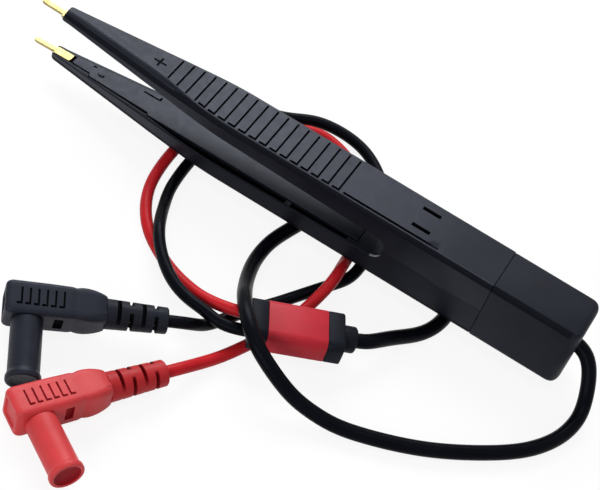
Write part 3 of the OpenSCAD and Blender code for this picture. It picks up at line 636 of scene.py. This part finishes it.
def cover_strip(name, upper):
    """Strip in the inner face of an arm, with a hooked slit, a dimple and a small stud."""
    start = X_COVER + STRIP_AHEAD
    events = [start, start + STRIP_EDGE, X_COVER_END - 3 * WALL, X_COVER_END, X_PIVOT]
    for step in (X_STEP1, X_STEP2):
        events += [step, step + STEP_RUN]
    events += walls((*SLIT_X, SLIT_HOOK))
    rings, flags = [], []
    for x in filled(events, STRIP_STEP):
        top = arm_inner(x)
        near, far = -stepped_edge(x), half_w(x) - FAR_WALL - STRIP_PLAY
        if x < start + WALL or x > X_COVER_END - WALL:
            top += STRIP_EDGE
        under = top + COVER_THICK - STRIP_EDGE - STRIP_UNDER
        ring = [(near + STRIP_EDGE, top, 0), (near, top + STRIP_EDGE, 0),
                (near, under, 0), (far, under, 0), (far, top, 0)]
        for y, kind in SLIT_COLUMNS:
            slit_start = SLIT_X[0] if kind == "run" else SLIT_HOOK
            sunk = kind != "" and slit_start < x < SLIT_X[1]
            ring.append((y * min(1.0, far / SLIT_ROOM), top + SLIT_DEEP * sunk, int(sunk)))
        rings.append([(x, y, z) for y, z, _ in ring])
        flags.append([f for _, _, f in ring])
    strip = loft(rings)
    # Painted groove shade in the slit and the dimple
    shaded_faces = picked_faces(flags)
    dimple = over(arm_inner, [(disc_outline(*DIMPLE), lift) for lift in DIMPLE_LEVELS])
    shaded_faces += range(len(strip[1]), len(strip[1]) + len(dimple[1]))
    x, y, a, b = STUD
    stud = over(arm_inner, [(disc_outline(x, y, a * grow, b * grow), lift) for grow, lift in STUD_RINGS])
    verts, faces = merge([strip, dimple, stud])
    if not upper:
        verts = mirrored(verts)
    return add_mesh(name, verts, faces, COVER, [(GROOVE_SHADE, shaded_faces)], STRIP_SHARP)


for side in ("upper", "lower"):
    for make, name, nodes, slot in ((half_body, "_half", ("_arm", "_rear_shell"), "body_plastic"),
                                    (cover_strip, "_strip", ("_cover",), "cover_plastic")):
        piece = make(side + name, side == "upper")
        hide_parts(*(side + node for node in nodes))
        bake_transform(piece)


# End cap: edges across and down, on top and below, and the steps round each
CAP_EDGE, CAP_LOW_EDGE, CAP_STEPS = (0.9, 1.7), (0.8, 1.2), 8
# Radius of its rear corners in plan and of its rear edges in height, steps round them
CAP_PLAN_R, CAP_RISE_R, CAP_TURNS = 2.8, 1.3, 10
# Chamfer of its front rim: place behind the seam, inset
CAP_RIM = ((0.02, 0.14), (0.16, 0.0))
# Mouth of the cable: place ahead of the end and radius
CAP_MOUTH = ((0.0, 2.9), (0.35, 2.55), (2.0, 1.95))


def rounded_ring(a, b, across, down, steps, low=None):
    """Rounded rectangle in (y, z) from its near top corner; low gives other radii below."""
    pts = []
    for sy, sz, turn in ((-1, 1, 0), (-1, -1, 1), (1, -1, 0), (1, 1, 1)):
        ry, rz = (across, down) if sz > 0 or low is None else low
        corner = []
        for i in range(steps + 1):
            t = math.radians(90.0 * i / steps)
            corner.append((sy * (a - ry + ry * math.sin(t)), sz * (b - rz + rz * math.cos(t))))
        pts += corner[::-1] if turn else corner
    return pts


def cap_ring(x, a, b):
    return [(x, y, z) for y, z in rounded_ring(a, b, *CAP_EDGE, CAP_STEPS, CAP_LOW_EDGE)]


def end_cap():
    """Cap over the rear: rounded corners in plan, painted shade on its near top edge, mouth for the cable.
    """
    straight = [(X_SEAM + back, inset) for back, inset in CAP_RIM]
    straight += [(x, 0.0) for x in filled([X_SEAM + 2, X_END - CAP_PLAN_R], CAP_STEP)]
    rings = [cap_ring(x, HALF_W - inset, HALF_H - inset) for x, inset in straight]
    for i in range(1, CAP_TURNS + 1):
        t = math.radians(90.0 * i / CAP_TURNS)
        x = X_END - CAP_PLAN_R + CAP_PLAN_R * math.sin(t)
        a = HALF_W - CAP_PLAN_R * (1 - math.cos(t))
        q = max(0.0, (x - (X_END - CAP_RISE_R)) / CAP_RISE_R)
        b = HALF_H - CAP_RISE_R * (1 - math.sqrt(max(0.0, 1 - q * q)))
        rings.append(cap_ring(x, a, b))
    count = len(rings[0])
    # Painted shade on the cap's near top edge
    edge = [i * count + k for i in range(len(straight)) for k in range(CAP_STEPS)]
    for back, r in CAP_MOUTH:
        ring = []
        for _, y, z in rings[-1]:
            d = math.hypot(y, z)
            ring.append((X_END - back, y / d * r, z / d * r))
        rings.append(ring)
    verts, faces = loft(rings)
    return add_mesh("rear_cap", verts, faces, BODY, [(EDGE_SHADE, edge)])


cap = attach(end_cap(), "handle")
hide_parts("end_cap")


# Splitter: middle and turn in plan, sizes, height over the table, place of the leads to each side
SPLIT_MID, SPLIT_TURN = (20.4, -36.35), math.radians(28)
SPLIT_LEN, SPLIT_W, SPLIT_H, BAND_LEN = 22.6, 11.5, 6.8, 14.4
SPLIT_LIFT, PORT_Y = 3.2, 2.6
SPLIT_Z = Z_TABLE + SPLIT_LIFT + SPLIT_H / 2
# Radii of its top and low edges, their steps, softening of ends and sleeve, share at the ring between, lap
BAR_TOP_R, BAR_LOW_R, BAR_TURNS, BAR_END, SLEEVE_END, MID_SHARE, LAP = 2.0, 1.1, 8, 0.35, 0.12, 0.3, 0.02
# Boss round the cable: place past the end, radius
BOSS = [(-0.5, 2.4), (-0.5, 3.2), (2.6, 3.2), (2.95, 3.05), (3.2, 2.7), (3.2, 2.1), (2.4, 1.95)]


def on_splitter(x, y, z):
    c, s = math.cos(SPLIT_TURN), math.sin(SPLIT_TURN)
    return SPLIT_MID[0] + x * c - y * s, SPLIT_MID[1] + x * s + y * c, SPLIT_Z + z


def bar(x0, x1, a, b, edge):
    """Splitter bar along X with softened ends, rounder on top than below."""
    rings = []
    part = edge * MID_SHARE
    ends = ((x0, edge), (x0 + part, part), (x0 + edge, 0.0), (x1 - edge, 0.0), (x1 - part, part), (x1, edge))
    for x, inset in ends:
        ring = rounded_ring(a - inset, b - inset, BAR_TOP_R, BAR_TOP_R, BAR_TURNS, (BAR_LOW_R, BAR_LOW_R))
        rings.append([(x, y, z) for y, z in ring])
    return loft(rings)


def disc_stack(profile):
    """Turned piece along X from (x, r) pairs."""
    return loft([[(x, r * c, r * s) for c, s in circle(TURNED_POINTS)] for x, r in profile])


def splitter_parts():
    """The two dark ends with the boss, and the red sleeve between them."""
    half, band = SPLIT_LEN / 2, BAND_LEN / 2
    a, b = SPLIT_W / 2, SPLIT_H / 2
    boss = disc_stack([(half + x, r) for x, r in BOSS])
    ends = merge([bar(-half, -band + LAP, a, b, BAR_END), bar(band - LAP, half, a, b, BAR_END), boss])
    return ends, bar(-band, band, a + LAP, b + LAP, SLEEVE_END)


for (verts, faces), name, material, node, slot in zip(
        splitter_parts(), ("splitter_ends", "splitter_sleeve"), (SPLIT_BLACK, SLEEVE_RED),
        ("splitter_body", "splitter_band"), ("black_plastic", "red_plastic")):
    piece = add_mesh(name, [on_splitter(*v) for v in verts], faces, material)
    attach(piece, "handle")
    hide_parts(node)


# Plugs: lengths of boot and handle, half size of the handle, place of the pin along the handle
BOOT, HANDLE, HANDLE_HALF, GUARD_X = 14.4, 23.1, 4.2, -32.0
PLUG_Z = Z_TABLE + HANDLE_HALF
X_HANDLE = -BOOT - HANDLE
# Lead's end with its lift, turn and roll in degrees, side of the groove hooks, materials: plastic, boot,
# painted shade of grooves, notch and boot slots, and the guard's dish (painted shade on the red one)
PLUGS = {
    "red": ((1.9, -65.3, 0.2), 56, -4, 1, PLUG_RED, BOOT_RED, GROOVE_SHADE_RED, DISH_SHADE_RED),
    "black": ((-4.75, -54.2, 2.6), 32, 8, -1, PLUG_BLACK, BOOT_BLACK, GROOVE_SHADE, PLUG_BLACK),
}
# Outline of the handle: place from its end, shares of the half width and half height
HANDLE_KEYS = [
    (0.0, 0.8, 0.84), (0.2, 0.88, 0.9), (0.6, 0.95, 0.96), (1.4, 1.0, 1.0), (10.0, 1.0, 1.0),
    (15.0, 0.975, 0.985), (15.6, 0.95, 0.96), (16.0, 0.93, 0.95), (16.6, 0.965, 0.97), (17.4, 0.99, 0.98),
    (18.6, 1.0, 0.98), (20.0, 0.98, 0.96), (21.2, 0.93, 0.92), (22.3, 0.86, 0.86), (23.1, 0.78, 0.78)
]
# Sunk end face: place from the end, share of the half size
HANDLE_END = ((0.4, 0.55), (0.4, 0.6), (0.0, 0.64))
# Hooked grooves in the flat faces: places, half width, half run of a wall, depth, hook
HANDLE_GROOVES = [GUARD_X - 1.9 + 1.92 * i for i in range(6)]
GROOVE_HALF, GROOVE_WALL, HANDLE_GROOVE_DEEP, HOOK = 0.2, 0.04, 0.35, 1.1
# Their columns across: 0 plain, 1 groove, 2 groove and hook
HANDLE_COLUMNS = ((-2.25, 0), (-2.15, 2), (-1.75, 2), (-1.65, 1), (2.05, 1), (2.15, 0))
# Notch on the pin side
NOTCH_X, NOTCH_Z, NOTCH_DEEP = (GUARD_X + 6.0, GUARD_X + 8.0), (-2.0, 2.0), 0.7
# Below this share of the size, notch and columns shrink with the ring
SHRINK_FROM = 0.8
# Radius of the handle's edges, what they gain over a run toward the boot, steps round them
HANDLE_R, HANDLE_R_MORE, X_ROUNDER, ROUNDER_RUN, HANDLE_TURNS = 1.1, 0.6, X_HANDLE + 17, 5, 6
# Collar round the pin's root: place along the pin, radius
COLLAR = [(3.2, 2.8), (6.55, 2.8), (6.8, 2.55), (6.8, 2.02)]
# Slots of the boot, radius at its two ends, half of what each pair of slots leaves, edge of its mouth
BOOT_SLOTS = [-BOOT + 2.4 + 2.87 * i for i in range(4)]
SLOT_WIDE, BOOT_R, BOOT_CORE, BOOT_LIP = 0.95, (3.55, 3.1), (1.5, 1.2), (0.25, 0.2)
# Stations round each slot
SLOT_STATIONS = (-0.15, 0.0, 0.05, SLOT_WIDE - 0.05, SLOT_WIDE, SLOT_WIDE + 0.15)
# Mouth of the boot round the lead: place, radius
BOOT_MOUTH = ((0.0, 2.4), (-0.2, 1.75), (-1.5, 1.55))
# Guard: start and end along the pin, radius, bore, thickness of its floor, radius of the inmost ring
GUARD_START, GUARD_END, GUARD_R, GUARD_BORE, GUARD_FLOOR, GUARD_MID = 4.35, 19.6, 3.7, 2.88, 2.0, 0.6
# Edges at its mouth outside and inside and at its floor, plain stretch from both ends
GUARD_EDGE, BORE_EDGE, FLOOR_EDGE, GUARD_PLAIN = 0.15, 0.1, 0.4, (1, 2.3)
# Its rolled rim and dish: place back from the end, radius past the guard's
GUARD_RIM = [
    (1.9, 0.06), (1.6, 0.22), (1.3, 0.36), (0.9, 0.4), (0.4, 0.38), (0.12, 0.25), (0.0, -0.02), (0.0, -0.3),
    (0.12, -0.5), (0.4, -0.72), (0.6, -1.2)
]
# Depth of the dish's middle, number of its rings
DISH_DEEP, DISH_RINGS = 0.62, 4


def plug_matrix(tint):
    end, turn, roll = PLUGS[tint][:3]
    place = Matrix.Translation((end[0], end[1], PLUG_Z + end[2]))
    return place @ Matrix.Rotation(math.radians(turn), 4, "Z") @ Matrix.Rotation(math.radians(roll), 4, "X")


def keyed(x):
    """Shares of the handle's half width and half height at a place from its end."""
    places, wide, high = zip(*HANDLE_KEYS)
    return numpy.interp(x, places, wide), numpy.interp(x, places, high)


def toward_pin(verts):
    """Turned piece along X set on the pin's axis, pointing out of the handle."""
    return [(GUARD_X + y, -x, z) for x, y, z in verts]


def groove_depth(x, kind, foot):
    """Depth of the handle's grooves at x, for a column of a kind."""
    for g in HANDLE_GROOVES:
        low, high = sorted((g, g + foot * HOOK))
        if kind and abs(x - g) < GROOVE_HALF or kind == 2 and low < x < high:
            return HANDLE_GROOVE_DEEP
    return 0.0


def handle_ring(x, wide, high, foot, cut):
    """Ring of the handle with its flags; wide and high are shares, cut adds grooves and notch."""
    a, b = HANDLE_HALF * wide, HANDLE_HALF * high
    r = HANDLE_R * min(wide, high) + HANDLE_R_MORE * smooth((x - X_ROUNDER) / ROUNDER_RUN)
    plain = [(y, z, 0) for y, z in rounded_ring(a, b, r, r, HANDLE_TURNS)]
    q = len(plain) // 4
    notch = NOTCH_DEEP if cut and NOTCH_X[0] < x < NOTCH_X[1] else 0.0
    low_z, high_z = (z * min(1.0, high / SHRINK_FROM) for z in NOTCH_Z)
    near = [(-a, high_z + WALL, 0), (-a + notch, high_z - WALL, notch > 0),
            (-a + notch, low_z + WALL, notch > 0), (-a, low_z - WALL, 0)]
    lower = []
    for y, kind in HANDLE_COLUMNS:
        depth = groove_depth(x, kind, foot) if cut else 0.0
        lower.append((y * min(1.0, wide / SHRINK_FROM), -b + depth, depth > 0))
    upper = [(y, -z, flag) for y, z, flag in reversed(lower)]
    ring = plain[:q] + near + plain[q:2 * q] + lower + plain[2 * q:] + upper
    return [(x, y, z) for y, z, _ in ring], [int(flag) for _, _, flag in ring]


def handle_part(foot):
    """Plug handle: hooked grooves in both flat faces, notch and collar on the pin side, sunk end face."""
    events = [X_HANDLE + key[0] for key in HANDLE_KEYS]
    for g in HANDLE_GROOVES:
        events += walls((g - GROOVE_HALF, g + GROOVE_HALF), GROOVE_WALL)
        events += walls([g + foot * HOOK])
    events += walls(NOTCH_X)
    rings = [handle_ring(X_HANDLE + back, f, f, foot, False) for back, f in HANDLE_END]
    rings += [handle_ring(x, *keyed(x - X_HANDLE), foot, True) for x in filled(events, HANDLE_STEP)]
    points, flags = zip(*rings)
    collar_verts, collar_faces = disc_stack(COLLAR)
    verts, faces = merge([loft(points), (toward_pin(collar_verts), collar_faces)])
    return verts, faces, picked_faces(flags)


def boot_ring(x, r):
    """Ring of the boot with its flags, cut flat where a slot runs."""
    ring, flags = [], []
    for c, s in circle(BOOT_POINTS):
        y, z = r * c, r * s
        cut = 0
        for i, start in enumerate(BOOT_SLOTS):
            if start + HAIR < x < start + SLOT_WIDE - HAIR:
                across = z if i % 2 == 0 else y
                limit = BOOT_CORE[i % 2]
                flat = max(-limit, min(limit, across))
                cut = int(flat != across)
                y, z = (y, flat) if i % 2 == 0 else (flat, z)
        ring.append((x, y, z))
        flags.append(cut)
    return ring, flags


def boot_part():
    """Strain relief: cone with slots, in turn above and below and on both sides."""
    events = [-BOOT, -BOOT_LIP[0], 0.0]
    for s in BOOT_SLOTS:
        events += [s + station for station in SLOT_STATIONS]
    rings = []
    for x in filled(events, BOOT_STEP):
        r = BOOT_R[0] + (BOOT_R[1] - BOOT_R[0]) * (x + BOOT) / BOOT - (BOOT_LIP[1] if x > -WALL else 0.0)
        rings.append(boot_ring(x, r))
    rings += [boot_ring(x, r) for x, r in BOOT_MOUTH]
    points, flags = zip(*rings)
    verts, faces = loft(points)
    return verts, faces, picked_faces(flags)


def guard_part():
    """Turned sleeve with an open bore, a rolled rim and a dished end."""
    start, end, r, bore, edge = GUARD_START, GUARD_END, GUARD_R, GUARD_BORE, GUARD_EDGE
    floor_x = end - GUARD_FLOOR
    profile = [(floor_x, GUARD_MID), (floor_x, bore - FLOOR_EDGE), (floor_x - FLOOR_EDGE, bore)]
    profile += [(start + edge, bore), (start, bore + BORE_EDGE), (start, r - edge), (start + edge, r)]
    profile += [(x, r) for x in filled([start + GUARD_PLAIN[0], end - GUARD_PLAIN[1]], GUARD_STEP)]
    profile += [(end - back, r + out) for back, out in GUARD_RIM]
    profile.append((end - DISH_DEEP, GUARD_MID))
    verts, faces = disc_stack(profile)
    count = len(verts) // len(profile)
    # The dish's faces take painted shade on the red guard; the last two faces close the bore's floor and the
    # dish
    dish = list(range((len(profile) - DISH_RINGS) * count, len(faces) - 2)) + [len(faces) - 1]
    return toward_pin(verts), faces, dish


for tint, (_, _, _, foot, plastic, boot_mat, groove_shade_mat, dish_mat) in PLUGS.items():
    place = plug_matrix(tint)
    for label, part, mat, sunk_mat, slot in (
            ("handle", handle_part(foot), plastic, groove_shade_mat, tint + "_plastic"),
            ("boot", boot_part(), boot_mat, groove_shade_mat, tint + "_boot"),
            ("guard", guard_part(), plastic, dish_mat, tint + "_plastic")):
        verts = [tuple(place @ Vector(v)) for v in part[0]]
        # Sunk faces take painted shade: grooves, notch and boot slots, and the red guard's dish
        piece = add_mesh(tint + "_" + label, verts, part[1], mat, [(sunk_mat, part[2])])
        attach(piece, "red_guard" if (tint, label) == ("red", "guard") else "handle")
        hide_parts(tint + "_plug_" + label)


# CAD nodes that show: bevel of the contacts and the least angle that it takes
CONTACT_BEVEL, BEVEL_FROM = 0.08, math.radians(40)


def dress(node, material, bevel=0.0):
    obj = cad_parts[node]
    obj.data.materials.clear()
    obj.data.materials.append(material)
    if bevel:
        mod = obj.modifiers.new("edge", "BEVEL")
        mod.width = bevel * MM
        mod.segments = 2
        mod.limit_method = "ANGLE"
        mod.angle_limit = BEVEL_FROM


for side in ("upper", "lower"):
    dress(side + "_contact", GOLD, CONTACT_BEVEL)
dress("upper_wire", CORD_RED)
dress("lower_wire", CORD_BLACK)
dress("cable_ferrule", STEEL)
for tint in PLUGS:
    dress(tint + "_plug_pin", BRASS)
    dress(tint + "_plug_spring", BRASS)


# Cords: height of the lying cable's middle, a lead's places past the splitter and along its plug
CABLE_LIE, LEAD_START, LEAD_END = 1.9, (-6, 0, 2.5), (4, 0, -29.8)


def port(end, side, out):
    """Point past an end of the splitter, some way to one side of its middle."""
    return on_splitter((SPLIT_LEN / 2 + out) * end, side, 0)


def on_table(points, lying):
    """Points from X and Y, with the height over the table where the cord doesn't lie on it."""
    return [(x, y, Z_TABLE + (height[0] if height else lying)) for x, y, *height in points]


def lead_route(tint, side, points):
    """Route of a lead from inside the splitter over the table into its plug."""
    start = [port(-1, side * PORT_Y, out) for out in LEAD_START]
    end = [tuple(plug_matrix(tint) @ Vector((x, 0, 0))) for x in LEAD_END]
    return start + on_table(points, LEAD_D / 2) + end


# Courses of the cords through the CAD source's points
CABLE = [
    (X_SEAM + 5.5, 0, 0), (X_END - 10, 0, 0), (X_END + 0.4, 0, 0), (X_END + 3.8, -1, 0.11 * Z_TABLE),
    (X_END + 6.2, -3, 0.34 * Z_TABLE), (X_END + 7.8, -5.5, 0.56 * Z_TABLE)
] + on_table([
    (87.3, -9.6, 3.2), (86.5, -15.6), (83.4, -22.7), (77.6, -29.8), (60.3, -42.6), (41.8, -50.4, 2.2),
    (34.8, -51.8, 3.4), (28.3, -52.4, 5.6), (17.4, -51.2, 11.8), (13.2, -48.3, 12.9), (9.6, -44.2, 12.4),
    (6.8, -39.2, 10.3), (4.6, -33.5, 6.8), (2.6, -27, 3.8), (1.2, -20), (1.4, -13), (5, 0), (6.5, 6.5),
    (7.4, 9.2, 2.6), (9.2, 12.6, 4.7), (13, 15.8, 5.9), (20, 17.2, 5.8), (27.5, 16.5, 5.4),
    (35, 13.8, 3.8), (41.5, 9.5, 2.4), (45.5, 4), (47.2, -2.5), (46.6, -8.5, 2.1), (44.7, -13, 2.1),
    (39.4, -21.6, 4.6)
], CABLE_LIE) + [port(1, 0, out) for out in (5.4, 3.2, -5)]
RED = lead_route("red", 1, [
    (2.5, -41.4, 6), (-2.7, -41, 4.6), (-12.2, -37, 1.7), (-18.4, -33.8), (-23.9, -29.8), (-28.4, -24),
    (-31.2, -17.5), (-32.5, -10), (-32.8, -2.5), (-32, 9), (-29, 14.2), (-24.4, 17.6), (-16.4, 21.9),
    (-9.2, 26.9), (-6, 28), (-2.1, 27.5), (3.2, 25.5), (7.6, 21.8), (11.2, 16.8), (17.2, 3.5),
    (18.8, -2.5), (19.2, -6.5, 2.1), (19.5, -9.3, 3.5), (19.9, -11.8, 4.9), (20.1, -14.8, 5.2),
    (20, -18.2, 4.8), (19.1, -23, 3.2), (17.4, -30.4, 1.6), (15, -37.5), (12, -45), (9.2, -51),
    (6.5, -56.6, 2.6)
])
BLACK = lead_route("black", -1, [
    (5, -46.2, 6.3), (0.2, -45.2, 6.1), (-5, -44.2, 5.4), (-10.2, -42, 5.1), (-14.8, -38.5, 5),
    (-18.5, -34.6, 5), (-21.2, -30.6, 5), (-23.2, -26, 3.8), (-25, -21, 2), (-26.7, -15.5), (-27.6, -8),
    (-27.8, 0, 1.6), (-28.2, 5.5, 1.8), (-28.6, 8.8, 3.3), (-28.6, 11.8, 5.1), (-27.6, 14.6, 5.2),
    (-25.6, 17.8, 5.1), (-22.9, 21, 4.2), (-19.6, 24.2, 2.4), (-16, 26.9), (-9.4, 31.3), (-2.1, 32.5),
    (5.5, 31), (12.8, 25.8), (16.8, 20.2), (20.2, 12.8), (22.2, 5.1), (22.6, -8.4), (21.2, -12),
    (18.9, -15.8), (11.4, -28.9), (7.6, -34.9), (4.1, -41.3, 1.6), (2.3, -45.2, 2)
])
# Step along a cord, and how often its points are averaged
ROUTE_STEP, ROUTE_PASSES = 1.0, 6


def between(a, b, start, end, u):
    return a * ((end - u) / (end - start)) + b * ((u - start) / (end - start))


def smooth_route(points):
    """Centripetal curve through the route's points, sampled in short steps and averaged."""
    p = [Vector(q) for q in points]
    p = [2 * p[0] - p[1]] + p + [2 * p[-1] - p[-2]]
    out = []
    for i in range(1, len(p) - 2):
        t = [0.0]
        for k in range(3):
            t.append(t[-1] + max(1e-6, (p[i + k] - p[i + k - 1]).length) ** 0.5)
        count = max(2, round((p[i + 1] - p[i]).length / ROUTE_STEP))
        for j in range(count):
            u = t[1] + (t[2] - t[1]) * j / count
            a1, a2, a3 = (between(p[i + k - 1], p[i + k], t[k], t[k + 1], u) for k in range(3))
            b1, b2 = between(a1, a2, t[0], t[2], u), between(a2, a3, t[1], t[3], u)
            out.append(between(b1, b2, t[1], t[2], u))
    out.append(p[-2])
    for _ in range(ROUTE_PASSES):
        inner = [(a + 2 * b + c) / 4 for a, b, c in zip(out, out[1:], out[2:])]
        out = [out[0]] + inner + [out[-1]]
    return out


def flex(name, points, diameter, material, node):
    """Cord along its course."""
    route = smooth_route(points)
    curve = bpy.data.curves.new(name, "CURVE")
    curve.dimensions = "3D"
    curve.bevel_depth = diameter / 2 * MM
    curve.bevel_resolution = 6
    curve.use_fill_caps = True
    spline = curve.splines.new("POLY")
    spline.points.add(len(route) - 1)
    for point, p in zip(spline.points, route):
        point.co = (p.x * MM, p.y * MM, p.z * MM, 1)
    spline.use_smooth = True
    curve.materials.append(material)
    obj = placed(name, curve)
    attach(obj, "handle")
    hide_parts(node)


flex("main_cord", CABLE, CABLE_D, CORD_BLACK, "main_cable")
for tint, route, jacket, side in (("red", RED, CORD_RED, 1), ("black", BLACK, CORD_BLACK, -1)):
    flex(tint + "_cord", route, LEAD_D, jacket, tint + "_lead")


# Stage: half size of the floor, its greys, and its glow to the camera
FLOOR_HALF, FLOOR_GREY, SEEN_GREY, FLOOR_GLOW = 6000, 0.6, 0.15, 0.88
# The smoothed cords dip this much under the level of the CAD's table
FLOOR_GAP = 0.1
# World: light from the viewer's side and from behind, the run between them along Y, its colour
WORLD_LEVELS = {"From Min": -0.5, "From Max": 0.6, "To Min": 0.2, "To Max": 0.3}
WORLD_COLOR = (0.93, 0.97, 1.0, 1)
WHITE = (1, 1, 1, 1)
# Lamps: place, aim, size, power
LAMPS = {
    "key": ((-0.36, 0.5, 0.56), (0, 0, 0), (0.6, 0.45), 5.6),
    "fill": ((-0.1, -0.8, 0.35), (0, -0.03, 0), (0.8, 0.4), 3.0),
    "top": ((0.05, -0.14, 0.75), (0.02, -0.03, 0), (0.5, 0.12), 0.6),
}


def background_mix(tree, first, second, target):
    """Second shader for camera, glossy and transmission rays, first shader for all others."""
    path = tree.nodes.new("ShaderNodeLightPath")
    value = path.outputs["Is Camera Ray"]
    for ray in ("Is Glossy Ray", "Is Transmission Ray"):
        larger = tree.nodes.new("ShaderNodeMath")
        larger.operation = "MAXIMUM"
        value = linked(tree, larger, {0: value, 1: path.outputs[ray]}).outputs[0]
    shaders = {"Fac": value, 1: first.outputs[0], 2: second.outputs[0]}
    mix = linked(tree, tree.nodes.new("ShaderNodeMixShader"), shaders)
    linked(tree, target, {"Surface": mix.outputs[0]})


def floor_material():
    mat = bpy.data.materials.new("pale_floor")
    mat.use_nodes = True
    tree = mat.node_tree
    tree.nodes.clear()
    out = tree.nodes.new("ShaderNodeOutputMaterial")
    diffuse, seen = (add_node(tree, "ShaderNodeBsdfDiffuse", {"Color": (grey, grey, grey, 1)})
                     for grey in (FLOOR_GREY, SEEN_GREY))
    glow = add_node(tree, "ShaderNodeEmission", {"Color": WHITE, "Strength": FLOOR_GLOW})
    both = linked(tree, tree.nodes.new("ShaderNodeAddShader"), {0: seen.outputs[0], 1: glow.outputs[0]})
    background_mix(tree, diffuse, both, out)
    return mat


def studio_world():
    """Bright behind, dim toward the viewer's side; plain white to the camera."""
    world = bpy.data.worlds.new("studio")
    scene.world = world
    world.use_nodes = True
    tree = world.node_tree
    tree.nodes.clear()
    out = tree.nodes.new("ShaderNodeOutputWorld")
    coord = tree.nodes.new("ShaderNodeTexCoord")
    y = passed(tree, "ShaderNodeSeparateXYZ", {}, coord.outputs["Generated"], "Vector", "Y")
    levels = add_node(tree, "ShaderNodeMapRange", WORLD_LEVELS)
    levels.interpolation_type = "SMOOTHSTEP"
    strength = linked(tree, levels, {"Value": y}).outputs["Result"]
    light = add_node(tree, "ShaderNodeBackground", {"Color": WORLD_COLOR})
    linked(tree, light, {"Strength": strength})
    white = add_node(tree, "ShaderNodeBackground", {"Color": WHITE})
    background_mix(tree, light, white, out)


def softbox(name, place, aim, size, power):
    data = bpy.data.lights.new(name, "AREA")
    data.shape = "RECTANGLE"
    data.size, data.size_y = size
    data.energy = power
    obj = placed(name, data)
    obj.location = place
    obj.rotation_euler = (Vector(aim) - Vector(place)).to_track_quat("-Z", "Y").to_euler()


corners = [(FLOOR_HALF * x, FLOOR_HALF * y, 0) for x, y in ((-1, -1), (1, -1), (1, 1), (-1, 1))]
floor = add_mesh("floor", corners, [(0, 1, 2, 3)], floor_material())
floor.location = (0, 0, (Z_TABLE - FLOOR_GAP) * MM)
studio_world()
for name, lamp in LAMPS.items():
    softbox(name, *lamp)

# Camera fitted to the photograph: directions, place, picture and focal length in pixels, sensor
RIGHT = (0.84511, 0.47162, 0.25173)
UP = (-0.5152, 0.59285, 0.61895)
BACK = (0.14267, -0.65277, 0.744)
CAMERA_AT = (0.0749, -0.31661, 0.33918)
PICTURE_W, FOCAL, SENSOR_W = 600, 1912, 36.0
camera_data = bpy.data.cameras.new("camera")
camera_data.sensor_width = SENSOR_W
camera_data.lens = FOCAL / PICTURE_W * SENSOR_W
camera_data.clip_start = 0.01
camera = placed("camera", camera_data)
camera.matrix_world = Matrix.Translation(CAMERA_AT) @ Matrix((RIGHT, UP, BACK)).transposed().to_4x4()
scene.camera = camera
scene.view_settings.view_transform = "Standard"

bpy.context.view_layer.update()
